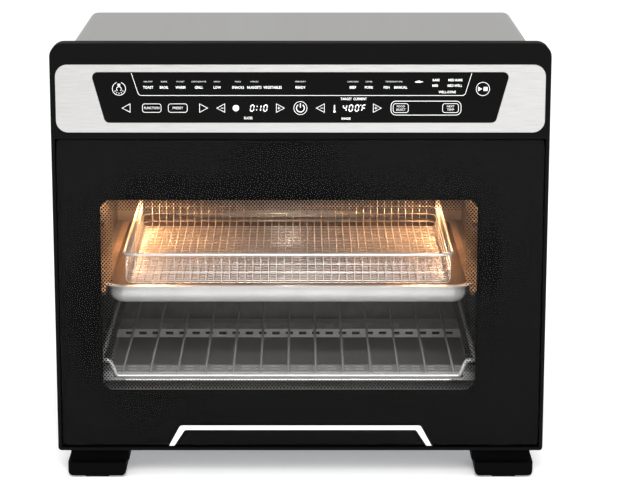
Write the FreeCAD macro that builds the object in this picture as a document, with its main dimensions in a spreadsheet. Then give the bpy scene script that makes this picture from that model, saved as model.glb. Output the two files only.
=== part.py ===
"""Counter-top toaster oven with a drop-down glass door, air-fry basket and touch controls.

Frame: +X to the oven's right as seen from the front, +Y from the door to the back, +Z up.
Origin: on the surface the oven stands on, below the middle of its overall box.
All lengths are millimetres.
"""

import FreeCAD, Part
import math
import os

import Sketcher

Vector = FreeCAD.Vector
doc = FreeCAD.newDocument("toaster_oven")
sheet = doc.addObject("Spreadsheet::Sheet", "Sizes")
parts = {}


# ---------------------------------------------------------------- sizes that know their formula


class Size:
    """A length that carries its value and the spreadsheet formula that gives it."""

    def __init__(self, value, formula):
        self.value = float(value)
        self.formula = formula

    def __add__(self, other):
        other = as_size(other)
        return Size(self.value + other.value, f"({self.formula} + {other.formula})")

    def __sub__(self, other):
        other = as_size(other)
        return Size(self.value - other.value, f"({self.formula} - {other.formula})")

    def __mul__(self, factor):
        factor = as_size(factor)
        return Size(self.value * factor.value, f"({self.formula} * {factor.formula})")

    def __truediv__(self, divisor):
        divisor = as_size(divisor)
        return Size(self.value / divisor.value, f"({self.formula} / {divisor.formula})")

    def __radd__(self, other):
        return as_size(other) + self

    def __rsub__(self, other):
        return as_size(other) - self

    def __rmul__(self, factor):
        return self * factor

    def __neg__(self):
        return as_size(0) - self


def as_size(number):
    """A plain number as a Size; a Size stays what it is."""
    if isinstance(number, Size):
        return number
    return Size(number, f"{float(number):.6f}" if number >= 0 else f"(0 - {-float(number):.6f})")


def cell(alias, value, note):
    """Write one driving dimension to the sheet and return it as a Size."""
    cell.row += 1
    sheet.set(f"A{cell.row}", note)
    sheet.set(f"B{cell.row}", str(value))
    sheet.setAlias(f"B{cell.row}", alias)
    return Size(value, f"Sizes.{alias}")


cell.row = 0

# Overall
overall_depth = cell("overall_depth", 398, "door trim to the ends of the rear spacers")
frame_width = cell("frame_width", 432, "front frame, side to side")
frame_top = cell("frame_top", 391, "front frame's top above the worktop")
frame_bottom = cell("frame_bottom", 25.5, "front frame's underside above the worktop")
frame_depth = cell("frame_depth", 30, "front frame, front to back")
frame_corner = cell("frame_corner", 12, "front frame's upper corner radius")
visor_depth = cell("visor_depth", 16, "front frame's depth where it stands above the casing")
frame_foot_corner = cell("frame_foot_corner", 3, "front frame's lower corner radius")
frame_border = cell("frame_border", 3, "frame beside the door")
frame_bar = cell("frame_bar", 2.5, "frame below the door")
bar_lip = cell("bar_lip", 1.5, "front lip of the bar below the door")
bar_floor = cell("bar_floor", 1.2, "bar's thickness behind its lip")
sheet_metal = cell("sheet_metal", 0.8, "cavity and panel sheet")
fit_gap = cell("fit_gap", 0.2, "clearance between pieces that seat on each other")
slide_gap = cell("slide_gap", 0.3, "clearance under pieces that slide")

# Door
door_gap = cell("door_gap", 1, "gap beside and above the door")
door_floor_gap = cell("door_floor_gap", 2, "gap below the door")
door_top = cell("door_top", 306.5, "door's top edge above the worktop")
door_thickness = cell("door_thickness", 20, "door, outside of the outer glass to its back")
door_back_gap = cell("door_back_gap", 2, "door's back to the cavity front plate")
glass_thickness = cell("glass_thickness", 3.2, "both door glasses")
door_corner = cell("door_corner", 2.5, "corner radius of the door")
door_toe = cell("door_toe", 4, "chamfer at the door's lower back edge")
window_shift = cell("window_shift", -10, "window's middle from the oven's middle")
window_width = cell("window_width", 330, "clear width of the window")
window_bottom = cell("window_bottom", 81, "window's lower edge above the worktop")
window_drop = cell("window_drop", 53.5, "window's upper edge below the door's top edge")
window_reveal = cell("window_reveal", 5, "door frame opening beyond the clear window")
inner_glass_bite = cell("inner_glass_bite", 5, "inner glass beyond the frame opening")
trim_thickness = cell("trim_thickness", 0.5, "door trim in front of the glass")
trim_band = cell("trim_band", 4, "door trim strip width")
trim_top_half = cell("trim_top_half", 107, "half the trim's upper run")
trim_foot_half = cell("trim_foot_half", 117, "half the trim's width at its feet")
trim_foot_band = cell("trim_foot_band", 4.56, "door trim strip width along the door's bottom edge")
trim_height = cell("trim_height", 18.6, "trim's height above the door's bottom edge")
hinge_back = cell("hinge_back", 8, "hinge axis behind the front face")
hinge_level = cell("hinge_level", 40, "hinge axis above the worktop")
hinge_pin_radius = cell("hinge_pin_radius", 2.5, "hinge pin radius")
hinge_eye_radius = cell("hinge_eye_radius", 4.3, "hinge bracket eye radius")
hinge_play = cell("hinge_play", 0.06, "radial play of the pin in the bracket eye")
hinge_inset = cell("hinge_inset", 18, "bracket's inner side from the door's side")
hinge_bracket_thickness = cell("hinge_bracket_thickness", 2.5, "bracket plate")
hinge_notch_width = cell("hinge_notch_width", 8, "notch in the door for the bracket")
hinge_pin_length = cell("hinge_pin_length", 22, "hinge pin length")
hinge_pin_grip = cell("hinge_pin_grip", 6, "hinge pin on the inner side of its bracket")
hinge_side_gap = cell("hinge_side_gap", 1, "gap round the hinge bracket in its notch")
hinge_arm_reach = cell("hinge_arm_reach", 52, "hinge bracket's rear end behind the front face")
hinge_leg = cell("hinge_leg", 14, "hinge bracket leg, front to back")
hinge_tab = cell("hinge_tab", 9, "hinge bracket's foot beside its plate")
hinge_tab_length = cell("hinge_tab_length", 18, "hinge bracket's foot, front to back")
hinge_tab_thickness = cell("hinge_tab_thickness", 2, "hinge bracket's foot thickness")
clip_spread = cell("clip_spread", 120, "distance between the inner glass clips on one side")
clip_length = cell("clip_length", 16, "inner glass clip, across the glass edge")
clip_width = cell("clip_width", 12, "inner glass clip width")
clip_sheet = cell("clip_sheet", 0.6, "inner glass clip sheet")
clip_screw_out = cell("clip_screw_out", 5, "clip screw outside the glass edge")
clip_screw_radius = cell("clip_screw_radius", 2.4, "clip screw head radius")
trim_round = cell("trim_round", 3, "door trim bend radius")

# Control panel
fascia_side_gap = cell("fascia_side_gap", 4.7, "frame showing beside the fascia")
fascia_rise = cell("fascia_rise", 6.9, "fascia's lower edge above the door")
fascia_drop = cell("fascia_drop", 18.5, "fascia's upper edge below the frame's top")
fascia_corner = cell("fascia_corner", 10.5, "fascia corner radius")
fascia_thickness = cell("fascia_thickness", 1.2, "fascia sheet")
lens_top_half = cell("lens_top_half", 180.6, "half the lens width at its top")
lens_bottom_half = cell("lens_bottom_half", 168.5, "half the lens width at its bottom")
lens_top_margin = cell("lens_top_margin", 6.6, "fascia above the lens")
lens_bottom_margin = cell("lens_bottom_margin", 8.6, "fascia below the lens")
lens_thickness = cell("lens_thickness", 2.6, "display lens")
lens_corner = cell("lens_corner", 4.5, "lens corner radius")
lens_seat = cell("lens_seat", 5, "width of the ledge the lens is bonded to")
display_depth = cell("display_depth", 6, "display module thickness")
display_width = cell("display_width", 34, "display module width")
display_height = cell("display_height", 14, "display module height")
display_rise = cell("display_rise", 13, "display middle above the lens's lower edge")
board_thickness = cell("board_thickness", 1.6, "circuit boards")
touch_radius = cell("touch_radius", 4, "touch spring radius")
touch_row = cell("touch_row", 17, "upper row of keys above the lower row")

# Casing
casing_inset = cell("casing_inset", 3, "casing's side inside the frame's side")
casing_drop = cell("casing_drop", 20, "casing's top below the frame's top")
casing_corner = cell("casing_corner", 9, "casing's upper corner radius")
vent_width = cell("vent_width", 3, "vent slot width")
vent_pitch = cell("vent_pitch", 9, "vent slot spacing")
side_vent_height = cell("side_vent_height", 26, "side vent slot length")
side_vent_front = cell("side_vent_front", 190, "first side vent behind the front face")
low_vent_level = cell("low_vent_level", 60, "lower side vents above the worktop")
high_vent_drop = cell("high_vent_drop", 71, "upper side vents below the casing's top")
rear_vent_height = cell("rear_vent_height", 30, "rear vent slot length")
rear_vent_half = cell("rear_vent_half", 90, "first rear vent from the oven's middle")
rear_vent_rise = cell("rear_vent_rise", 20, "rear vents above the rear bulge")
base_vent_half = cell("base_vent_half", 60, "first base vent from the oven's middle")
base_vent_front = cell("base_vent_front", 120, "base vents behind the base pan's front")
base_vent_length = cell("base_vent_length", 40, "base vent slot length")
rear_bulge_depth = cell("rear_bulge_depth", 21, "rear panel bulge behind the casing")
rear_bulge_side = cell("rear_bulge_side", 12, "rear panel bulge beside the cavity's bay")
rear_bulge_rise = cell("rear_bulge_rise", 10, "rear panel bulge above and below the bay")
rear_bulge_wall = cell("rear_bulge_wall", 2, "side wall of the rear panel bulge")
rear_bulge_round = cell("rear_bulge_round", 5, "rounding of the rear panel bulge")
rear_screw_side = cell("rear_screw_side", 8, "rear screws inside the casing's side")
rear_screw_rise = cell("rear_screw_rise", 12, "lowest rear screws above the casing's lower edge")
rear_screw_drop = cell("rear_screw_drop", 20, "highest rear screws below the casing's top")
screw_hole_gap = cell("screw_hole_gap", 0.1, "gap round a screw in its hole")
spacer_side = cell("spacer_side", 20, "rear spacer width and height")
spacer_length = cell("spacer_length", 31.5, "rear spacers behind the casing")
spacer_spread = cell("spacer_spread", 300, "distance between the rear spacers")
spacer_drop = cell("spacer_drop", 36, "rear spacers below the casing's top")
foot_width = cell("foot_width", 52, "foot width")
foot_length = cell("foot_length", 48, "foot, front to back")
foot_inset = cell("foot_inset", 8, "foot's outer side from the frame's side")
foot_toe_top = cell("foot_toe_top", 13.6, "top of the foot's wide base")
foot_pad_height = cell("foot_pad_height", 1.9, "rubber pad below the foot")
foot_pad_width = cell("foot_pad_width", 21, "rubber pad width")
foot_pad_inset = cell("foot_pad_inset", 3, "rubber pad inside the foot's ends")
foot_neck_shift = cell("foot_neck_shift", 2.4, "foot's upper part nearer the oven's middle")
foot_neck_front = cell("foot_neck_front", 9, "foot's upper part behind its base's front")
foot_neck_rear = cell("foot_neck_rear", 4, "foot's upper part inside its base's rear")
foot_round = cell("foot_round", 4, "rounding of the foot's base")

# Cavity
cavity_shift = cell("cavity_shift", -11, "cavity's middle from the oven's middle")
cavity_width = cell("cavity_width", 350, "cavity inside width")
cavity_floor_level = cell("cavity_floor_level", 53, "cavity floor above the worktop")
ceiling_drop = cell("ceiling_drop", 16.5, "cavity ceiling below the door's top edge")
rear_room = cell("rear_room", 30, "cavity rear wall to the casing's rear edge")
bay_width = cell("bay_width", 240, "width of the curved bay in the rear wall")
bay_depth = cell("bay_depth", 36, "depth of the curved bay")
bay_height = cell("bay_height", 96, "height of the curved bay")
bay_drop = cell("bay_drop", 28, "bay's top below the cavity ceiling")
ledge_reach = cell("ledge_reach", 12, "rack ledge out of the side wall")
ledge_height = cell("ledge_height", 3, "rack ledge thickness")
ledge_front_gap = cell("ledge_front_gap", 6, "rack ledge behind the cavity's front")
ledge_rear_gap = cell("ledge_rear_gap", 4, "rack ledge before the cavity's rear wall")
spare_ledge_rise = cell("spare_ledge_rise", 62, "spare ledge above the tray's ledge")
plate_drop = cell("plate_drop", 4, "front plate below the cavity floor")

# Heaters and guards
heater_radius = cell("heater_radius", 3.25, "heating element tube radius")
heater_hole_gap = cell("heater_hole_gap", 0.6, "gap round a heater in the wall")
heater_overhang = cell("heater_overhang", 12, "heater beyond the cavity wall")
insulator_length = cell("insulator_length", 8, "ceramic end insulator length")
insulator_radius = cell("insulator_radius", 7, "ceramic end insulator radius")
insulator_play = cell("insulator_play", 0.06, "radial play of a heater in its insulator")
lower_heater_level = cell("lower_heater_level", 66, "lower heaters above the worktop")
upper_heater_drop = cell("upper_heater_drop", 13, "upper heaters below the cavity ceiling")
upper_heater_inner = cell("upper_heater_inner", 90, "inner upper heaters from the fan axis")
upper_heater_outer = cell("upper_heater_outer", 118, "outer upper heaters from the fan axis")
guard_level = cell("guard_level", 71, "heater guard's top above the worktop")
guard_height = cell("guard_height", 8.5, "heater guard's front face")
guard_width = cell("guard_width", 24, "heater guard, front to back")
front_guard_at = cell("front_guard_at", 96, "front guard behind the front face")
rear_guard_gap = cell("rear_guard_gap", 86, "rear guard's front before the cavity rear wall")
slot_length = cell("slot_length", 7.5, "guard slot length")
slot_height = cell("slot_height", 3, "guard slot height")
slot_pitch = cell("slot_pitch", 13.2, "guard slot spacing")
slot_margin = cell("slot_margin", 10, "least plain length at each end of a guard")
top_slot_width = cell("top_slot_width", 4, "guard top slot, front to back")
top_slot_front = cell("top_slot_front", 5.5, "front row of top slots behind the guard's front")
top_slot_rear = cell("top_slot_rear", 14.5, "rear row of top slots behind the guard's front")

# Fan and motor
fan_back = cell("fan_back", 180, "fan axis behind the front face")
fan_opening = cell("fan_opening", 72, "radius of the fan opening in the ceiling")
fan_radius = cell("fan_radius", 64, "convection fan radius")
fan_height = cell("fan_height", 14, "convection fan blade height")
fan_rise = cell("fan_rise", 6, "convection fan above the cavity ceiling")
fan_disc = cell("fan_disc", 1, "fan disc and blade thickness")
fan_hub_wall = cell("fan_hub_wall", 4, "fan hub wall round the shaft")
fan_hub_gap = cell("fan_hub_gap", 4, "fan hub to the inner ends of the blades")
fan_blade_inset = cell("fan_blade_inset", 2, "blade's outer end inside the fan disc's edge")
housing_height = cell("housing_height", 30, "fan housing above the ceiling")
housing_margin = cell("housing_margin", 6, "fan housing beyond the fan opening")
guard_margin = cell("guard_margin", 8, "fan guard beyond the fan opening")
guard_slot_first = cell("guard_slot_first", 14, "innermost guard slots from the fan axis")
guard_slot_pitch = cell("guard_slot_pitch", 10, "spacing of the rings of guard slots")
guard_slot_length = cell("guard_slot_length", 7, "fan guard slot length")
guard_slot_width = cell("guard_slot_width", 3, "fan guard slot width")
cooling_fan_radius = cell("cooling_fan_radius", 44, "cooling fan radius")
cooling_fan_rise = cell("cooling_fan_rise", 3, "cooling fan above the fan housing")
cooling_fan_height = cell("cooling_fan_height", 8, "cooling fan blade height")
shaft_radius = cell("shaft_radius", 3, "motor shaft radius")
shaft_play = cell("shaft_play", 0.06, "radial play of the shaft in its bearings")
shaft_hole_gap = cell("shaft_hole_gap", 1, "gap round the shaft in the fan housing")
shaft_end = cell("shaft_end", 3.5, "shaft above the motor cap")
rotor_radius = cell("rotor_radius", 14, "motor rotor radius")
rotor_gap = cell("rotor_gap", 0.5, "air gap round the rotor")
stator_side = cell("stator_side", 52, "stator width")
stator_height = cell("stator_height", 20, "stator height")
bracket_half = cell("bracket_half", 56, "half the motor bracket's span")
bracket_width = cell("bracket_width", 24, "motor bracket, front to back")
bracket_rise = cell("bracket_rise", 16, "motor bracket above the fan housing")
bracket_sheet = cell("bracket_sheet", 1.5, "motor bracket sheet")
bracket_tab = cell("bracket_tab", 9, "motor bracket's foot")
rotor_end_gap = cell("rotor_end_gap", 0.5, "rotor inside the stator's ends")
cap_width = cell("cap_width", 18, "motor cap, front to back")

# Rack, tray, basket, crumb tray
rack_level = cell("rack_level", 97, "rack side wires above the worktop")
rack_drop = cell("rack_drop", 14.5, "rack's front and rear bars below its side wires")
rack_side_gap = cell("rack_side_gap", 6, "rack's side wire to the cavity wall")
rack_front = cell("rack_front", 42, "rack's front bar behind the front face")
rack_rear_gap = cell("rack_rear_gap", 14, "rack's rear bar before the cavity rear wall")
rack_wire = cell("rack_wire", 2, "rack frame wire radius")
deck_wire = cell("deck_wire", 1.15, "rack deck wire radius")
deck_pitch = cell("deck_pitch", 25, "rack deck wire spacing")
deck_margin = cell("deck_margin", 18, "least space beside the outer deck wires")
deck_sink = cell("deck_sink", 0.4, "weld depth of a deck wire in the bars")
lower_bar_drop = cell("lower_bar_drop", 4, "second front bar below the first")
rack_front_bend = cell("rack_front_bend", 4, "bend radius of the rack's front wire")
rack_rear_bend = cell("rack_rear_bend", 4, "bend radius of the rack's rear wire")
second_bar_bend = cell("second_bar_bend", 2.5, "bend radius of the second front bar")
front_dip_start = cell("front_dip_start", 8, "front bar's slope from the side wire")
front_dip_end = cell("front_dip_end", 14, "end of the front bar's slope from the side wire")
rear_dip_start = cell("rear_dip_start", 13, "rear bar's slope from the side wire")
rear_dip_end = cell("rear_dip_end", 17, "end of the rear bar's slope from the side wire")
second_bar_start = cell("second_bar_start", 18, "second front bar from the side wire")
second_bar_end = cell("second_bar_end", 22, "end of the second front bar's slope from the side wire")
tray_level = cell("tray_level", 165, "tray rim above the worktop")
tray_height = cell("tray_height", 18, "tray height")
tray_front = cell("tray_front", 45, "tray rim's front behind the front face")
tray_rear_gap = cell("tray_rear_gap", 6, "tray rim before the cavity rear wall")
tray_side_gap = cell("tray_side_gap", 7, "tray rim to the cavity wall")
tray_rim = cell("tray_rim", 5.5, "tray's flat rim")
tray_corner = cell("tray_corner", 20, "tray corner radius")
tray_sheet = cell("tray_sheet", 0.8, "tray sheet")
tray_foot_round = cell("tray_foot_round", 11, "rounding round the tray's floor")
basket_side_gap = cell("basket_side_gap", 20, "basket rim inside the tray's rim")
basket_front = cell("basket_front", 50, "basket's front behind the front face")
basket_rear_gap = cell("basket_rear_gap", 25, "basket's rear before the tray's rear")
basket_rise = cell("basket_rise", 28, "basket rim above the tray's rim")
basket_floor_rise = cell("basket_floor_rise", 0.5, "basket floor above the tray's rim")
basket_wire = cell("basket_wire", 1.5, "basket rim wire radius")
basket_corner = cell("basket_corner", 10, "basket corner radius")
basket_web = cell("basket_web", 1.2, "basket mesh thickness")
basket_pitch = cell("basket_pitch", 14, "spacing of the openings in the basket mesh")
basket_opening = cell("basket_opening", 11, "width of one opening in the basket mesh")
basket_rail = cell("basket_rail", 2, "level bars between the openings in the basket's sides")
basket_wall_inset = cell("basket_wall_inset", 1, "basket mesh inside the rim wire's middle")
basket_foot_round = cell("basket_foot_round", 3, "rounding round the basket's floor")
runner_inset = cell("runner_inset", 24, "basket runners from the basket's sides")
runner_wire = cell("runner_wire", 1.2, "basket runner wire radius")
runner_gap = cell("runner_gap", 0.1, "basket runner above the tray's floor")
runner_bend = cell("runner_bend", 4, "basket runner bend radius")
crumb_side_gap = cell("crumb_side_gap", 3, "crumb tray to the cavity wall")
crumb_front = cell("crumb_front", 24, "crumb tray's front behind the front face")
crumb_rear_gap = cell("crumb_rear_gap", 6, "crumb tray before the cavity rear wall")
crumb_height = cell("crumb_height", 7.2, "crumb tray height")
crumb_corner = cell("crumb_corner", 4, "crumb tray corner radius")
crumb_foot_round = cell("crumb_foot_round", 2, "rounding round the crumb tray's floor")

# Electronics compartment
shield_gap = cell("shield_gap", 18, "cavity wall to the heat shield")
shield_front = cell("shield_front", 50, "heat shield behind the front face")
shield_rear_gap = cell("shield_rear_gap", 6, "heat shield before the cavity rear wall's level")
shield_rise = cell("shield_rise", 40, "heat shield above the cavity ceiling")
standoff_length = cell("standoff_length", 8, "power board standoffs")
power_board_length = cell("power_board_length", 150, "power board, front to back")
power_board_height = cell("power_board_height", 110, "power board height")
power_board_front = cell("power_board_front", 70, "power board behind the front face")
power_board_bottom = cell("power_board_bottom", 120, "power board above the worktop")
standoff_radius = cell("standoff_radius", 3, "power board standoff radius")
standoff_inset = cell("standoff_inset", 6, "standoffs from the power board's edges")
relay_pitch = cell("relay_pitch", 24, "relay spacing")
relay_start = cell("relay_start", 16, "first relay behind the power board's front")
relay_length = cell("relay_length", 16, "relay, front to back")
relay_rise = cell("relay_rise", 22, "relay height on the board")
relay_drop = cell("relay_drop", 16, "relays below the power board's top")
relay_depth = cell("relay_depth", 12, "relay standing off the board")
transformer_start = cell("transformer_start", 96, "transformer behind the power board's front")
transformer_length = cell("transformer_length", 32, "transformer, front to back")
transformer_rise = cell("transformer_rise", 14, "transformer above the power board's lower edge")
transformer_height = cell("transformer_height", 34, "transformer height on the board")
transformer_depth = cell("transformer_depth", 13, "transformer standing off the board")
terminal_gap = cell("terminal_gap", 4, "heat shield to the terminal block")
terminal_width = cell("terminal_width", 18, "terminal block width and height")
terminal_front = cell("terminal_front", 290, "terminal block behind the front face")
terminal_length = cell("terminal_length", 36, "terminal block, front to back")
probe_back = cell("probe_back", 120, "temperature probe behind the front face")
probe_drop = cell("probe_drop", 30, "temperature probe below the cavity ceiling")
probe_radius = cell("probe_radius", 1.5, "temperature probe radius")
probe_length = cell("probe_length", 24, "temperature probe length")
probe_reach = cell("probe_reach", 14, "temperature probe inside the cavity")
cutoff_side = cell("cutoff_side", 110, "thermal cutoff from the fan axis")
cutoff_radius = cell("cutoff_radius", 8, "thermal cutoff can radius")
cutoff_height = cell("cutoff_height", 6, "thermal cutoff can and head height")
cutoff_head = cell("cutoff_head", 10, "thermal cutoff head width")
lamp_back = cell("lamp_back", 215, "oven lamp behind the front face")
lamp_drop = cell("lamp_drop", 41, "oven lamp below the cavity ceiling")
lamp_radius = cell("lamp_radius", 16, "oven lamp opening radius")
lamp_reach = cell("lamp_reach", 8, "lamp glass inside the cavity")
lamp_glass_wall = cell("lamp_glass_wall", 1.5, "lamp glass thickness")
lamp_bulb_radius = cell("lamp_bulb_radius", 6, "lamp bulb radius")
lamp_bulb_reach = cell("lamp_bulb_reach", 5, "lamp bulb inside the cavity wall")
lamp_flange = cell("lamp_flange", 5, "lamp holder's flange beyond the lamp opening")
lamp_flange_height = cell("lamp_flange_height", 3, "lamp holder's flange thickness")
lamp_socket_radius = cell("lamp_socket_radius", 10, "lamp socket radius")
lamp_socket_length = cell("lamp_socket_length", 14, "lamp socket length")
cord_radius = cell("cord_radius", 3.6, "bore of the cord gland")
gland_length = cell("gland_length", 16, "cord gland length")
gland_wall = cell("gland_wall", 2.8, "cord gland sleeve wall")
gland_flange = cell("gland_flange", 6, "cord gland flange beyond its bore")
gland_flange_height = cell("gland_flange_height", 2.5, "cord gland flange thickness")
cord_level = cell("cord_level", 62, "cord gland above the worktop")
cord_inset = cell("cord_inset", 27, "cord gland inside the casing's side")
switch_drop = cell("switch_drop", 26.5, "door switch below the door's top edge")
switch_inset = cell("switch_inset", 20, "door switch inside the door's side")
switch_width = cell("switch_width", 14, "door switch width")
switch_height = cell("switch_height", 18, "door switch height")
switch_length = cell("switch_length", 22, "door switch, front to back")
plunger_radius = cell("plunger_radius", 2, "door switch plunger radius")
plunger_length = cell("plunger_length", 12, "door switch plunger length")
plunger_play = cell("plunger_play", 0.06, "radial play of the plunger in the switch")
plunger_gap = cell("plunger_gap", 0.1, "door's back to the plunger's tip")
plunger_room = cell("plunger_room", 18, "depth of the plunger's bore in the switch")
screw_radius = cell("screw_radius", 1.5, "sheet metal screw radius")
screw_head_radius = cell("screw_head_radius", 3.2, "sheet metal screw head radius")
screw_head_height = cell("screw_head_height", 1.6, "sheet metal screw head height")
screw_length = cell("screw_length", 8, "sheet metal screw length under its head")
past = cell("past", 1, "how far a cut reaches beyond the face that it starts from")

# Places worked out from the driving dimensions
face = trim_thickness - overall_depth / 2
rear_end = overall_depth / 2
frame_half = frame_width / 2
recess_half = frame_half - frame_border
door_half = recess_half - door_gap
door_bottom = frame_bottom + frame_bar + door_floor_gap
plate_front = face + door_thickness + door_back_gap
window_top = door_top - window_drop
casing_half = frame_half - casing_inset
casing_inside = casing_half - sheet_metal
casing_top = frame_top - casing_drop
casing_end = rear_end - spacer_length
cavity_front = plate_front + sheet_metal
cavity_left = cavity_shift - cavity_width / 2
cavity_right = cavity_shift + cavity_width / 2
cavity_back = casing_end - rear_room
cavity_ceiling_level = door_top - ceiling_drop
bay_top = cavity_ceiling_level - bay_drop
bay_bottom = bay_top - bay_height
upper_heater_level = cavity_ceiling_level - upper_heater_drop
fascia_half = frame_half - fascia_side_gap
fascia_bottom = door_top + fascia_rise
fascia_top = frame_top - fascia_drop
lens_top = fascia_top - lens_top_margin
lens_bottom = fascia_bottom + lens_bottom_margin
display_level = lens_bottom + display_rise
board_y = face + fit_gap + lens_thickness + fit_gap + display_depth
hinge_y = face + hinge_back
hinge_bracket_at = door_half - hinge_inset
fan_y = face + fan_back
rack_half = cavity_width / 2 - rack_side_gap
rack_near = face + rack_front
rack_far = cavity_back - rack_rear_gap
tray_half = cavity_width / 2 - tray_side_gap
tray_near = face + tray_front
tray_far = cavity_back - tray_rear_gap
tray_floor = tray_level - tray_height + tray_sheet
basket_half = tray_half - basket_side_gap
basket_near = face + basket_front
basket_far = tray_far - basket_rear_gap
basket_level = tray_level + basket_rise
basket_floor = tray_level + basket_floor_rise
shield_at = cavity_right + shield_gap
lamp_level = cavity_ceiling_level - lamp_drop
probe_level = cavity_ceiling_level - probe_drop
cord_side = casing_half - cord_inset
switch_level = door_top - switch_drop
switch_side = door_half - switch_inset


# ---------------------------------------------------------------- building helpers

PLANES = {"XY": ("XY_Plane", 1), "XZ": ("XZ_Plane", -1), "YZ": ("YZ_Plane", 1)}


def bind(thing, prop, size):
    """Bind one property of a document object to a size."""
    thing.setExpression(prop, as_size(size).formula)


def new_body(label):
    """Start the PartDesign body of one sub-part."""
    body = doc.addObject("PartDesign::Body", label)
    parts[label] = body
    return body


def new_sketch(body, name, plane, level, centre=(0, 0)):
    """Start a sketch on a plane of the body, at a level along its axis, with its origin at centre."""
    sketch = body.newObject("Sketcher::SketchObject", name)
    role, sign = PLANES[plane]
    support = [f for f in body.Origin.OriginFeatures if f.Role == role][0]
    sketch.AttachmentSupport = [(support, "")]
    sketch.MapMode = "FlatFace"
    bind(sketch, "AttachmentOffset.Base.x", centre[0])
    bind(sketch, "AttachmentOffset.Base.y", centre[1])
    bind(sketch, "AttachmentOffset.Base.z", as_size(level) * sign)
    return sketch


def pin_point(sketch, geometry, which, point):
    """Fix one sketch point by its distances from the sketch origin."""
    for kind, size in zip(("DistanceX", "DistanceY"), point):
        size = as_size(size)
        index = sketch.addConstraint(
            Sketcher.Constraint(kind, -1, 1, geometry, which, size.value)
        )
        sketch.setExpression(f"Constraints[{index}]", size.formula)


def outline(body, name, plane, level, points, centre=(0, 0)):
    """A closed outline of straight edges through the given corner points."""
    sketch = new_sketch(body, name, plane, level, centre)
    spots = [Vector(as_size(u).value, as_size(v).value, 0) for u, v in points]
    count = len(spots)
    for i in range(count):
        sketch.addGeometry(Part.LineSegment(spots[i], spots[(i + 1) % count]))
    for i in range(count):
        sketch.addConstraint(Sketcher.Constraint("Coincident", i, 2, (i + 1) % count, 1))
    for i in range(count):
        pin_point(sketch, i, 1, points[i])
    return sketch


def rectangle(body, name, plane, level, low_u, high_u, low_v, high_v, centre=(0, 0)):
    """A rectangular outline."""
    corners = [(low_u, low_v), (high_u, low_v), (high_u, high_v), (low_u, high_v)]
    return outline(body, name, plane, level, corners, centre)


def circle(body, name, plane, level, centre, radius):
    """A circular outline."""
    sketch = new_sketch(body, name, plane, level)
    radius = as_size(radius)
    middle = Vector(as_size(centre[0]).value, as_size(centre[1]).value, 0)
    sketch.addGeometry(Part.Circle(middle, Vector(0, 0, 1), radius.value))
    pin_point(sketch, 0, 3, centre)
    index = sketch.addConstraint(Sketcher.Constraint("Radius", 0, radius.value))
    sketch.setExpression(f"Constraints[{index}]", radius.formula)
    return sketch


def pad(body, sketch, name, length, plane):
    """Grow the sketch by a length towards the positive end of its plane's axis."""
    feature = body.newObject("PartDesign::Pad", name)
    feature.Profile = (sketch, [""])
    feature.Reversed = plane == "XZ"
    bind(feature, "Length", length)
    doc.recompute()
    return feature


TINY = 1e-3


def pocket(body, sketch, name, plane, length=None):
    """Cut the sketch towards the positive end of its axis, by a length or through everything."""
    before = body.Shape.Volume
    feature = body.newObject("PartDesign::Pocket", name)
    feature.Profile = (sketch, [""])
    feature.Reversed = plane != "XZ"
    if length is None:
        feature.Type = "ThroughAll"
    else:
        bind(feature, "Length", length)
    doc.recompute()
    if not TINY < body.Shape.Volume < before - TINY:
        raise ValueError(f"{body.Label}: {name} cuts nothing or everything")
    return feature


def row_of(body, feature, name, sketch, axis, spacing, count):
    """Repeat a feature in a straight row along the sketch's own horizontal or vertical axis."""
    pattern = body.newObject("PartDesign::LinearPattern", name)
    pattern.Originals = [feature]
    pattern.Direction = (sketch, [axis])
    bind(pattern, "Length", as_size(spacing) * (count - 1))
    pattern.Occurrences = count
    body.Tip = pattern
    doc.recompute()
    return pattern


def edges_where(shape, test):
    """Names of the edges of a shape that a test picks."""
    return [f"Edge{i + 1}" for i, edge in enumerate(shape.Edges) if test(edge)]


def runs_along(edge, axis):
    """Whether an edge is a straight line along X, Y or Z."""
    box = edge.BoundBox
    spans = {"X": box.XLength, "Y": box.YLength, "Z": box.ZLength}
    return spans[axis] > TINY and all(spans[a] < TINY for a in spans if a != axis)


def round_where(body, name, radius, test):
    """Round the edges of the body that a test picks."""
    tip = body.Tip
    edges = edges_where(tip.Shape, test)
    if not edges:
        raise ValueError(f"{body.Label}: {name} finds no edge")
    fillet = body.newObject("PartDesign::Fillet", name)
    fillet.Base = (tip, edges)
    bind(fillet, "Radius", radius)
    body.Tip = fillet
    doc.recompute()
    if not body.Shape.Volume > TINY:
        raise ValueError(f"{body.Label}: {name} failed")
    return fillet


def box(label, low_x, high_x, low_y, high_y, low_z, high_z):
    """A block between two corners."""
    block = doc.addObject("Part::Box", label)
    spans = (("Length", "x", low_x, high_x), ("Width", "y", low_y, high_y), ("Height", "z", low_z, high_z))
    for prop, axis, low, high in spans:
        low, high = as_size(low), as_size(high)
        bind(block, prop, high - low)
        bind(block, f".Placement.Base.{axis}", low)
    return block


TURNS = {
    "X": FreeCAD.Rotation(Vector(0, 1, 0), 90),
    "Y": FreeCAD.Rotation(Vector(1, 0, 0), -90),
    "Z": FreeCAD.Rotation(),
}


def rod(label, axis, start, length, radius):
    """A cylinder from a start point along X, Y or Z."""
    cylinder = doc.addObject("Part::Cylinder", label)
    bind(cylinder, "Radius", radius)
    bind(cylinder, "Height", length)
    cylinder.Placement = FreeCAD.Placement(Vector(0, 0, 0), TURNS[axis])
    for name, place in zip("xyz", start):
        bind(cylinder, f".Placement.Base.{name}", place)
    return cylinder


def fuse(label, pieces):
    """One solid from several that touch or overlap."""
    union = doc.addObject("Part::MultiFuse", label)
    union.Shapes = pieces
    union.Refine = True
    return union


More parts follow.
